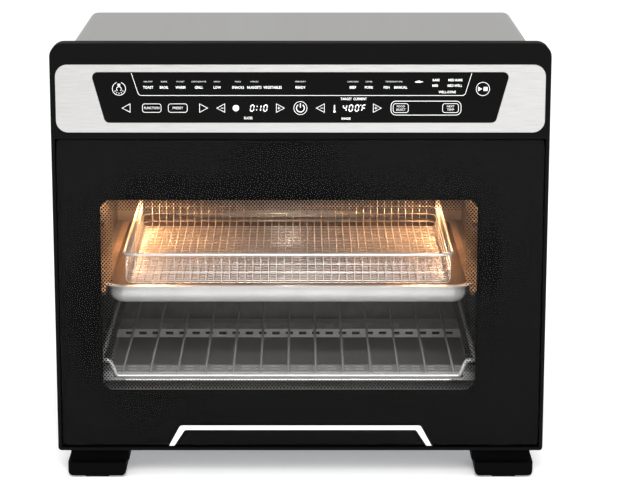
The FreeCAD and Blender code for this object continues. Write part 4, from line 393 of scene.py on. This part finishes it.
def pressed_aluminium():
    """Mill-finish aluminium with faint rolling lines."""
    material, tree, shader = new_finish("pressed_mill_aluminium", "#b8b9ba", 0.35, 1.0)
    tree.links.new(spread(tree, grain(tree, 0.8, 3, ALONG_X), 0.25, 0.45), shader.inputs["Roughness"])
    return material


def lamp_envelope():
    """Warm-glowing lamp glass."""
    material, tree, shader = new_finish("glowing_lamp_glass", "#fff1dc", 0.3)
    shader.inputs["Emission Color"].default_value = colour("#ffc27a")
    shader.inputs["Emission Strength"].default_value = 4.0
    tree.links.new(tint(tree, grain(tree, 5, 2), "#ffe2b8", "#fff6e8"), shader.inputs["Base Color"])
    return material


green_board = circuit_board()
ceramic = steatite()
iron_stack = laminations()
fan_metal = pressed_aluminium()
lamp_glow = lamp_envelope()

# %% [markdown]
# ## Finish the CAD pieces
# A CAD mesh stays as it is. Two modifiers make it shade well: Weld joins its loose triangles, and Edge
# Split keeps every fold sharper than thirty degrees crisp while rounds turn smooth.

# %% Give each CAD piece its finish
FINISHES = {
    satin_abs: ["front_frame", "door_frame"],
    grained_abs: ["feet"],
    panel_abs: ["rear_panel", "rear_spacers", "cord_gland", "interlock_switch"],
    white_nylon: ["led_displays", "board_standoffs", "relays", "terminal_block", "interlock_plunger"],
    foot_rubber: ["foot_pads"],
    casing_steel: ["casing_wrap"],
    fascia_steel: ["control_fascia"],
    zinc_steel: [
        "touch_springs", "base_pan", "motor_bracket", "motor_cap", "motor_shaft", "inner_glass_clips",
        "clip_screws", "hinge_pins", "hinge_brackets", "heat_shield", "temperature_probe",
        "rear_panel_screws",
    ],
    lining_steel: [
        "cavity_left_wall", "cavity_right_wall", "cavity_floor", "cavity_ceiling", "cavity_front_plate",
        "fan_housing", "fan_guard",
    ],
    rear_wall_steel: ["cavity_rear_wall"],
    chrome_wire: ["wire_rack", "basket_rim_wire"],
    basket_wire: ["basket_runners", "basket_mesh"],
    tray_metal: ["baking_tray"],
    guard_metal: ["element_guards"],
    crumb_metal: ["crumb_tray"],
    heater_metal: ["lower_heaters", "upper_heaters"],
    pane_glass: ["door_outer_glass", "door_inner_glass", "lamp_glass"],
    lens_acrylic: ["display_lens"],
    printed_white: ["door_trim"],
    green_board: ["control_board", "power_board"],
    ceramic: ["heater_insulators", "lamp_holder", "thermal_cutoff"],
    iron_stack: ["motor_stator", "motor_rotor", "transformer"],
    fan_metal: ["convection_fan_blade", "cooling_fan_blade"],
    lamp_glow: ["lamp_bulb"],
}
SHARP_FOLD = math.radians(30)


def finish_cad_piece(node, material):
    """Dress one CAD piece and let its rounds shade smoothly."""
    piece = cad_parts[node]
    piece.data.materials.clear()
    piece.data.materials.append(material)
    for polygon in piece.data.polygons:
        polygon.use_smooth = True
    weld = piece.modifiers.new("join_triangles", "WELD")
    weld.merge_threshold = 0.002 * MM
    split = piece.modifiers.new("keep_folds", "EDGE_SPLIT")
    split.split_angle = SHARP_FOLD


for material, nodes in FINISHES.items():
    for node in nodes:
        finish_cad_piece(node, material)
left_plain = set(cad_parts) - {n for nodes in FINISHES.values() for n in nodes}
print(sum(len(n) for n in FINISHES.values()), "CAD pieces finished; left plain:", sorted(left_plain))

# %% [markdown]
# ## Helpers for new pieces
# Every new piece starts as a bmesh in real places, so its object can stay at the origin, as CAD pieces do.


# %% Piece helpers
def new_piece(name, bm, material, body, smooth=False):
    """Close a bmesh into an object that rides on a CAD body."""
    bmesh.ops.remove_doubles(bm, verts=bm.verts, dist=0.001 * MM)
    bmesh.ops.recalc_face_normals(bm, faces=bm.faces)
    mesh = bpy.data.meshes.new(name)
    bm.to_mesh(mesh)
    bm.free()
    mesh.materials.append(material)
    for polygon in mesh.polygons:
        polygon.use_smooth = smooth
    piece = bpy.data.objects.new(name, mesh)
    bpy.context.collection.objects.link(piece)
    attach(piece, body)
    print(name, len(mesh.polygons), "faces")
    return piece


def merge_into(target, source):
    """Move everything from one bmesh into another."""
    mesh = bpy.data.meshes.new("passing")
    source.to_mesh(mesh)
    source.free()
    target.from_mesh(mesh)
    bpy.data.meshes.remove(mesh)


def plate(outline, front_y, thickness):
    """A flat plate: an outline of (x, z) corners, given thickness away from the viewer."""
    bm = bmesh.new()
    bm.faces.new([bm.verts.new((x, front_y, z)) for x, z in outline])
    grown = bmesh.ops.extrude_face_region(bm, geom=bm.faces[:])
    verts = [v for v in grown["geom"] if isinstance(v, bmesh.types.BMVert)]
    bmesh.ops.translate(bm, verts=verts, vec=(0, thickness, 0))
    return bm


def arc(centre, radius, start, end, steps):
    """Points along an arc in the X-Z plane, angles in degrees from +X towards +Z."""
    turns = [math.radians(start + (end - start) * i / steps) for i in range(steps + 1)]
    return [(centre[0] + radius * math.cos(a), centre[1] + radius * math.sin(a)) for a in turns]


def rounded_rectangle(low_x, high_x, low_z, high_z, radius, steps=6):
    """Outline of a rectangle with rounded corners, anticlockwise from its lower right corner."""
    corners = (
        (high_x - radius, low_z + radius, -90),
        (high_x - radius, high_z - radius, 0),
        (low_x + radius, high_z - radius, 90),
        (low_x + radius, low_z + radius, 180),
    )
    points = []
    for x, z, start in corners:
        points += arc((x, z), radius, start, start + 90, steps)
    return points


def stroke(points, width, front_y, thickness, closed=False):
    """A line of even width along (x, z) points, as a thin raised strip."""
    spots = [Vector(p) for p in points]
    count = len(spots)
    left, right = [], []
    for i, spot in enumerate(spots):
        before = spots[i - 1] if i or closed else None
        after = spots[(i + 1) % count] if i < count - 1 or closed else None
        pairs = [(a, b) for a, b in ((before, spot), (spot, after)) if a is not None and b is not None]
        sides = [(b - a).normalized() for a, b in pairs]
        normals = [Vector((-s.y, s.x)) for s in sides]
        mitre = sum(normals, Vector((0, 0))).normalized()
        reach = width / 2 / max(0.35, mitre.dot(normals[0]))
        left.append(spot + mitre * reach)
        right.append(spot - mitre * reach)
    bm = bmesh.new()
    rows = [[bm.verts.new((p.x, front_y, p.y)) for p in side] for side in (left, right)]
    for i in range(count if closed else count - 1):
        j = (i + 1) % count
        bm.faces.new((rows[0][i], rows[0][j], rows[1][j], rows[1][i]))
    grown = bmesh.ops.extrude_face_region(bm, geom=bm.faces[:])
    verts = [v for v in grown["geom"] if isinstance(v, bmesh.types.BMVert)]
    bmesh.ops.translate(bm, verts=verts, vec=(0, thickness, 0))
    return bm


# %% [markdown]
# ## Black print behind the door's outer glass
# The ink is a thin sheet with the window cut out. The dots are laid in a staggered grid and only kept
# where they fall in a band inside the window; they shrink from nearly touching at its edge to half that size.

# %% Door print
WINDOW_X = -10 * MM
WINDOW_HALF = 165 * MM
WINDOW_LOW = 81 * MM
WINDOW_HIGH = 253 * MM
WINDOW_ROUND = 9 * MM
DOT_PITCH = 3 * MM
DOT_ROW = 1.72 * MM
DOT_BAND = 10 * MM
DOT_LARGEST = 0.98 * MM
DOT_SMALLEST = 0.5 * MM
INK_THICKNESS = 0.05 * MM
ink_y = glass_back_y - 0.1 * MM
glass_low, glass_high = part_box("door_outer_glass")
EDGE = 0.3 * MM


def inside_window(x, z):
    """Distance from a point to the window's edge, positive inside."""
    across = WINDOW_HALF - abs(x - WINDOW_X)
    up = (WINDOW_HIGH - WINDOW_LOW) / 2 - abs(z - (WINDOW_HIGH + WINDOW_LOW) / 2)
    if across < WINDOW_ROUND and up < WINDOW_ROUND:
        return WINDOW_ROUND - math.hypot(WINDOW_ROUND - across, WINDOW_ROUND - up)
    return min(across, up)


def door_print():
    """The black ink: a sheet with a window, and its border of dots."""
    bm = bmesh.new()
    outer = rounded_rectangle(
        glass_low.x + EDGE, glass_high.x - EDGE, glass_low.z + EDGE, glass_high.z - EDGE, 2.5 * MM
    )
    inner = rounded_rectangle(
        WINDOW_X - WINDOW_HALF, WINDOW_X + WINDOW_HALF, WINDOW_LOW, WINDOW_HIGH, WINDOW_ROUND
    )
    rings = [[bm.verts.new((x, ink_y, z)) for x, z in ring] for ring in (outer, inner)]
    count = len(rings[0])
    for i in range(count):
        j = (i + 1) % count
        bm.faces.new((rings[0][i], rings[0][j], rings[1][j], rings[1][i]))
    grown = bmesh.ops.extrude_face_region(bm, geom=bm.faces[:])
    verts = [v for v in grown["geom"] if isinstance(v, bmesh.types.BMVert)]
    bmesh.ops.translate(bm, verts=verts, vec=(0, INK_THICKNESS, 0))
    return bm


def print_dots():
    """Flat dots in a staggered grid along the window's edge."""
    bm = bmesh.new()
    rows = int((WINDOW_HIGH - WINDOW_LOW) / DOT_ROW) + 1
    columns = int(2 * WINDOW_HALF / DOT_PITCH) + 1
    turn = Matrix.Rotation(math.pi / 2, 4, "X")
    dots = 0
    for row in range(rows):
        z = WINDOW_LOW + row * DOT_ROW
        for column in range(columns):
            x = WINDOW_X - WINDOW_HALF + (column + 0.5 * (row % 2)) * DOT_PITCH
            depth = inside_window(x, z)
            if not 0 <= depth < DOT_BAND:
                continue
            radius = DOT_LARGEST + (DOT_SMALLEST - DOT_LARGEST) * depth / DOT_BAND
            place = Matrix.Translation((x, ink_y, z)) @ turn
            bmesh.ops.create_circle(bm, cap_ends=True, segments=10, radius=radius, matrix=place)
            dots += 1
    print(dots, "dots")
    return bm


print_bm = door_print()
merge_into(print_bm, print_dots())
new_piece("door_black_print", print_bm, black_ink, "door")

# %% [markdown]
# ## Legends on the control lens
# The lens carries printed outlines and words, and lit digits. Words are set as text, turned into a mesh
# and stood up on the lens. All words here are plain cooking words and numbers.

# %% Legend helpers
PRINT = 0.06 * MM
lens_y = lens_front_y - PRINT
legend_parts = {"printed": bmesh.new(), "lit": bmesh.new(), "dim": bmesh.new()}


def add_words(layer, text, x_mm, z_mm, height_mm, width=1.0, weight=0.0):
    """Words centred on a place, with capitals of a given height."""
    CAPITAL_SHARE = 0.69
    curve = bpy.data.curves.new("words", "FONT")
    curve.body = text
    curve.align_x = "CENTER"
    curve.align_y = "CENTER"
    curve.size = height_mm * MM / CAPITAL_SHARE
    curve.space_character = 1.05
    curve.offset = weight * height_mm * MM
    curve.resolution_u = 2
    curve.extrude = PRINT / 2
    thing = bpy.data.objects.new("words", curve)
    bpy.context.collection.objects.link(thing)
    bpy.context.view_layer.update()
    mesh = bpy.data.meshes.new_from_object(thing)
    stand = Matrix.Translation((x_mm * MM, lens_y + PRINT / 2, z_mm * MM))
    mesh.transform(stand @ Matrix.Rotation(math.pi / 2, 4, "X") @ Matrix.Diagonal((width, 1, 1, 1)))
    legend_parts[layer].from_mesh(mesh)
    bpy.data.objects.remove(thing)
    bpy.data.curves.remove(curve)
    bpy.data.meshes.remove(mesh)


def add_line(layer, points_mm, width_mm, closed=False):
    """A printed line through (x, z) points in millimetres."""
    points = [(x * MM, z * MM) for x, z in points_mm]
    merge_into(legend_parts[layer], stroke(points, width_mm * MM, lens_y, PRINT, closed))


def add_patch(layer, points_mm):
    """A printed solid patch."""
    points = [(x * MM, z * MM) for x, z in points_mm]
    merge_into(legend_parts[layer], plate(points, lens_y, PRINT))


# %% [markdown]
# The keys are outlined shapes: arrows, rounded boxes and rings. A light line divides the status words
# above from the keys below.

# %% Keys and outlines
KEY_ROW = 334.7
STATUS_ROW = 352.6
LINE = 0.42


def arrow_key(x, direction, sign=""):
    """An outlined arrow with rounded tips and an optional plus or minus."""
    half, reach = 3.7, 6.9
    back = x - direction * reach / 2
    tip = x + direction * reach / 2
    points = [(back, KEY_ROW - half), (tip, KEY_ROW), (back, KEY_ROW + half)]
    add_line("printed", points, LINE, closed=True)
    if sign:
        middle = x - direction * 1.3
        add_line("printed", [(middle - 1.2, KEY_ROW), (middle + 1.2, KEY_ROW)], 0.42)
    if sign == "+":
        add_line("printed", [(middle, KEY_ROW - 1.2), (middle, KEY_ROW + 1.2)], 0.42)


def box_key(low_x, high_x, half, radius=2.0, width=LINE):
    """An outlined box with rounded corners."""
    points = rounded_rectangle(low_x, high_x, KEY_ROW - half, KEY_ROW + half, radius)
    add_line("printed", points, width, closed=True)


def ring_key(x, z, radius, start=0, end=360, width=LINE):
    """A ring, or part of one."""
    whole = end - start >= 360
    points = arc((x, z), radius, start, end, 32)
    add_line("printed", points[:-1] if whole else points, width, closed=whole)


for x, direction, sign in (
    (-150.5, -1, ""), (-83.6, 1, ""), (-68.8, -1, "-"), (-17.3, 1, "+"), (17.2, -1, "-"), (66.4, 1, "+"),
):
    arrow_key(x, direction, sign)
box_key(-136.4, -120.3, 3.7)
box_key(-114.1, -97.7, 3.7)
box_key(78.2, 138.7, 6.1, 4.3, 0.5)
box_key(80.1, 93.2, 3.9)
box_key(122.8, 136.5, 3.9)
add_words("printed", "FUNCTION", -128.4, KEY_ROW, 2.0, 0.88)
add_words("printed", "PRESET", -105.9, KEY_ROW, 2.0, 0.95)
for x, first, second in ((86.7, "FOOD", "SELECT"), (129.7, "NEXT", "TEMP")):
    add_words("printed", first, x, KEY_ROW + 1.4, 1.7)
    add_words("printed", second, x, KEY_ROW - 1.4, 1.7)

# %% [markdown]
# The power key is a broken ring with a bar, the lamp key a small bulb in a ring, and the start key joins an
# arrowhead and a square. All three are built from the same lines and patches as the other keys.

# %% Power, lamp and start keys
ring_key(0, KEY_ROW, 5.7)
ring_key(0, KEY_ROW, 3.4, 125, 415, 0.8)
add_line("printed", [(0, KEY_ROW + 0.4), (0, KEY_ROW + 4.2)], 0.8)
LAMP_X, LAMP_Z = -156.4, 351.6
ring_key(LAMP_X, LAMP_Z, 5.7, -250, 70, 0.45)
ring_key(LAMP_X, LAMP_Z - 0.2, 2.0, -50, 230, 0.5)
add_line("printed", [(LAMP_X - 1.2, LAMP_Z + 2.9), (LAMP_X + 1.2, LAMP_Z + 2.9)], 0.6)
add_line("printed", [(LAMP_X - 1.2, LAMP_Z + 3.9), (LAMP_X + 1.2, LAMP_Z + 3.9)], 0.6)
for turn in (205, 237, 270, 303, 335):
    add_line("printed", [arc((LAMP_X, LAMP_Z - 0.4), r, turn, turn, 1)[0] for r in (3.1, 4.3)], 0.5)
START_X, START_Z = 157.3, 351.4
ring_key(START_X, START_Z, 5.8)
add_patch("printed", [(START_X - 4.2, START_Z - 2), (START_X - 0.6, START_Z), (START_X - 4.2, START_Z + 2)])
add_patch("printed", rounded_rectangle(START_X + 0.6, START_X + 4.0, START_Z - 1.7, START_Z + 1.7, 0.2, 1))

# %% [markdown]
# The status area is framed by a light line that rises at both ends. The words in it are back-lit; a row of
# unlit words above them can barely be seen.

# %% Status words
DIVIDER = 345.7
divider = [(-145.6, 365.2), (-140.4, 348.6)]
divider += arc((-137.0, 348.9), 3.2, 190, 270, 6)
divider += arc((139.4, 348.9), 3.2, 270, 345, 6)
divider += [(147.6, 365.2)]
add_line("printed", divider, LINE)
STATUS = (
    (-131.2, "TOAST"), (-117.5, "BROIL"), (-103.3, "WARM"), (-87.5, "GRILL"), (-71.8, "LOW"),
    (-53.8, "SNACKS"), (-39.7, "NUGGETS"), (-23.9, "VEGETABLES"), (0, "READY"),
    (45.2, "BEEF"), (59, "PORK"), (74.3, "FISH"), (86.4, "MANUAL"),
)
UNLIT = (
    (-131.2, "AIR FRY"), (-117.5, "BAKE"), (-103.3, "ROAST"), (-87.5, "DEHYDRATE"), (-71.8, "HIGH"),
    (-53.8, "FRIES"), (-39.7, "WINGS"), (0, "PREHEAT"), (45.2, "CHICKEN"), (59, "LAMB"),
    (80.5, "TEMPERATURE"),
)
for x, word in STATUS:
    add_words("lit", word, x, STATUS_ROW, 2.2, 0.84, 0.01)
for x, word in UNLIT:
    add_words("dim", word, x, STATUS_ROW + 5.1, 1.15, 1.3)
for x, z, word in (
    (116.9, 359.0, "RARE"), (133.5, 359.0, "MED-RARE"), (116.2, 354.2, "MED"), (133.1, 354.2, "MED-WELL"),
    (126.7, 348.6, "WELL-DONE"), (39.5, 342.6, "TARGET"), (51.4, 342.6, "CURRENT"),
    (-45.1, 325.9, "SLICES"), (39.4, 325.4, "SHADE"),
):
    add_words("lit", word, x, z, 2.0, 0.86, 0.01)
fork = [(98.5, 357.4), (100.2, 358.3), (102.5, 358.6), (104.2, 357.9), (106.2, 357.8), (104, 357.1)]
fork += [(101, 356.8)]
add_patch("lit", fork)

# %% [markdown]
# ### Seven-segment digits
# Each digit is built from bars laid on a slanted grid, which is how such displays are drawn.

# %% Digits
SEGMENTS = {
    "0": "abcdef", "1": "bc", "2": "abdeg", "3": "abcdg", "4": "bcfg", "5": "acdfg", "6": "acdefg",
    "7": "abc", "8": "abcdefg", "9": "abcdfg", "F": "aefg",
}
SLANT = 0.16


def digit(character, x, z, height, width):
    """One slanted seven-segment character with its middle at x, z."""
    half, side, inset = height / 2, width / 2, 0.45
    bars = {
        "a": ((-side + inset, half), (side - inset, half)),
        "d": ((-side + inset, -half), (side - inset, -half)),
        "g": ((-side + inset, 0), (side - inset, 0)),
        "f": ((-side, inset), (-side, half - inset)),
        "b": ((side, inset), (side, half - inset)),
        "e": ((-side, -half + inset), (-side, -inset)),
        "c": ((side, -half + inset), (side, -inset)),
    }
    for name in SEGMENTS[character]:
        points = [(x + px + pz * SLANT, z + pz) for px, pz in bars[name]]
        add_line("lit", points, 0.75)


TIME = ((-41.6, "0"), (-35.6, "1"), (-30.2, "0"))
TEMPERATURE = ((38.3, "4"), (43.6, "0"), (48.9, "0"), (54.7, "F"))
for x, character in TIME + TEMPERATURE:
    digit(character, x, KEY_ROW, 5.4, 2.8)
add_patch("lit", arc((52.2, KEY_ROW + 2.6), 0.45, 0, 330, 11))
for z in (KEY_ROW - 1.5, KEY_ROW + 1.5):
    add_patch("lit", arc((-37.6 + (z - KEY_ROW) * SLANT, z), 0.5, 0, 330, 11))
CLOCK_X, HAND = -55.7, 0.4
add_patch("lit", arc((CLOCK_X, KEY_ROW), 2.7, 96, 354, 24) + [(CLOCK_X - HAND, KEY_ROW - HAND)])
add_patch("lit", arc((CLOCK_X, KEY_ROW), 2.7, 6, 84, 8) + [(CLOCK_X + HAND, KEY_ROW + HAND)])
add_line("lit", [(29.4, KEY_ROW - 2.6), (29.4, KEY_ROW + 2.6)], 0.9)
add_patch("lit", arc((29.4, KEY_ROW - 3), 1.0, 0, 345, 16))

new_piece("lens_printed_keys", legend_parts["printed"], printed_white, "oven")
new_piece("lens_lit_legends", legend_parts["lit"], lit_white, "oven")
new_piece("lens_unlit_legends", legend_parts["dim"], dim_white, "oven")

# %% [markdown]
# ## Wire mesh of the air-fry basket
# The real basket is welded from wire at a pitch of seven millimetres. Each wire runs up one wall, across
# the floor and up the other wall, and level wires ring the walls. A wire is a small six-sided tube swept
# round its bends, which is light enough to repeat.

# %% Basket wires
WIRE_SIDES = 6
WIRE_RADIUS = 0.5 * MM
WIRE_PITCH = 7 * MM
basket_low, basket_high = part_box("basket_mesh")
wall_low = basket_low + Vector((WIRE_RADIUS, WIRE_RADIUS, WIRE_RADIUS))
wall_high = basket_high - Vector((WIRE_RADIUS, WIRE_RADIUS, 0))


def tube(bm, points, radius, closed=False):
    """A tube swept along points, with its section turned to halve each bend."""
    spots = [Vector(p) for p in points]
    count = len(spots)
    rings = []
    for i, spot in enumerate(spots):
        before = spots[i - 1] if i or closed else spot
        after = spots[(i + 1) % count] if i < count - 1 or closed else spot
        along = (after - before).normalized()
        turn = along.to_track_quat("Z", "Y").to_matrix().to_4x4()
        made = bmesh.ops.create_circle(
            bm, cap_ends=False, segments=WIRE_SIDES, radius=radius, matrix=Matrix.Translation(spot) @ turn
        )
        rings.append(made["verts"])
    for i in range(count if closed else count - 1):
        first, second = rings[i], rings[(i + 1) % count]
        start = min(range(WIRE_SIDES), key=lambda k: (second[k].co - first[0].co).length)
        for k in range(WIRE_SIDES):
            n = (k + 1) % WIRE_SIDES
            a, b = second[(start + k) % WIRE_SIDES], second[(start + n) % WIRE_SIDES]
            bm.faces.new((first[k], first[n], b, a))
    if not closed:
        bm.faces.new(rings[0])
        bm.faces.new(rings[-1])


def even_places(low, high, pitch):
    """Places between two ends, evenly spaced at about the pitch."""
    count = round((high - low) / pitch)
    return [low + (high - low) * i / count for i in range(count + 1)]


def basket_wires():
    """Cross wires, lengthways wires and level rings."""
    bm = bmesh.new()
    bend = 4 * MM
    low, high = wall_low, wall_high
    step = bend * 0.3
    corner = 9 * MM
    over = WIRE_RADIUS * 1.6
    for y in even_places(low.y + corner, high.y - corner, WIRE_PITCH):
        run = [(low.x, high.z), (low.x, low.z + bend), (low.x + step, low.z + step), (low.x + bend, low.z)]
        back = [(low.x + high.x - x, z) for x, z in reversed(run)]
        tube(bm, [(x, y, z) for x, z in run + back], WIRE_RADIUS)
    for x in even_places(low.x + corner, high.x - corner, WIRE_PITCH):
        run = [(low.y, high.z), (low.y, low.z + bend)]
        run += [(low.y + step, low.z + step + over), (low.y + bend, low.z + over)]
        back = [(low.y + high.y - y, z) for y, z in reversed(run)]
        tube(bm, [(x, y, z) for y, z in run + back], WIRE_RADIUS)
    for z in even_places(low.z + bend, high.z, WIRE_PITCH)[:-1]:
        ring = rounded_rectangle(low.x + over, high.x - over, low.y + over, high.y - over, corner, 3)
        tube(bm, [(x, y, z) for x, y in ring], WIRE_RADIUS, closed=True)
    return bm


wires = new_piece("basket_woven_wires", basket_wires(), basket_wire, "basket", smooth=True)
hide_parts("basket_mesh")

# %% [markdown]
# ## Floor and lights
# The oven stands on a plain pale floor, which glows faintly so that it stays white round the oven.

# %% Floor
floor_bm = bmesh.new()
bmesh.ops.create_grid(floor_bm, x_segments=1, y_segments=1, size=12)
floor_mesh = bpy.data.meshes.new("studio_floor")
floor_bm.to_mesh(floor_mesh)
floor_bm.free()
floor_paper, floor_tree, floor_shader = new_finish(
    "white_paper_floor", "#ffffff", 0.9, Specular_IOR_Level=0.1
)
floor_tone = tint(floor_tree, grain(floor_tree, 400, 2), "#fdfdfd", "#ffffff")
floor_tree.links.new(floor_tone, floor_shader.inputs["Base Color"])
floor_shader.inputs["Emission Color"].default_value = colour("#ffffff")
floor_shader.inputs["Emission Strength"].default_value = 0.2
floor_mesh.materials.append(floor_paper)
studio_floor = bpy.data.objects.new("studio_floor", floor_mesh)
bpy.context.collection.objects.link(studio_floor)


# %% [markdown]
# Five soft lights and an even pale sky give the studio look. Two small warm lights inside the cavity stand
# for the oven lamp and its reflection off the far wall, and a third lights the rear wall's curved bay.


# %% Lights
def soft_light(name, place, aim, size, power, tone="#ffffff"):
    """A square area light that looks at a point, and isn't seen by the camera."""
    data = bpy.data.lights.new(name, "AREA")
    data.size = size
    data.energy = power
    data.color = colour(tone)[:3]
    light = bpy.data.objects.new(name, data)
    light.location = place
    light.rotation_euler = (Vector(aim) - Vector(place)).to_track_quat("-Z", "Y").to_euler()
    light.visible_camera = False
    bpy.context.collection.objects.link(light)
    return light


world = bpy.data.worlds.new("studio")
world.use_nodes = True
world.node_tree.nodes["Background"].inputs["Color"].default_value = colour("#ffffff")
world.node_tree.nodes["Background"].inputs["Strength"].default_value = 0.85
bpy.context.scene.world = world
bpy.context.scene.view_settings.view_transform = "Standard"
MIDDLE = (0, 0, 0.2)
soft_light("key_above_front", (-1.2, -2.2, 2.4), MIDDLE, 1.8, 8)
soft_light("fill_right", (2.2, -1.6, 1.4), MIDDLE, 1.6, 3)
soft_light("overhead", (0, 0.3, 2.6), MIDDLE, 2.2, 6)
soft_light("front_fill", (0, face_y - 1.7, 1.5), MIDDLE, 0.7, 26)
soft_light("front_low", (0.3, face_y - 1.8, 0.95), MIDDLE, 0.5, 8)
LAMP_TONE = "#ffbd84"
LAMP_DROP = 40 * MM
LAMP_BACK = 235 * MM
LAMP_SIZE = 0.03
lamp_z = ceiling_z - LAMP_DROP
for side, x, aim_x, power in (
    ("left", floor_low.x + 40 * MM, floor_low.x + 15 * MM, 0.6),
    ("right", floor_high.x - 40 * MM, floor_high.x - 60 * MM, 0.42),
):
    place = (x, face_y + LAMP_BACK, lamp_z)
    aim = (aim_x, face_y + 200 * MM, lamp_z - 80 * MM)
    soft_light(f"cavity_lamp_{side}", place, aim, LAMP_SIZE, power, LAMP_TONE)
bay_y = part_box("cavity_rear_wall")[1].y - 16 * MM
bay_z = ceiling_z - 38 * MM
soft_light("rear_bay", (cavity_x, bay_y, bay_z), (cavity_x, bay_y, 0), 0.02, 0.05, "#fff4e8")
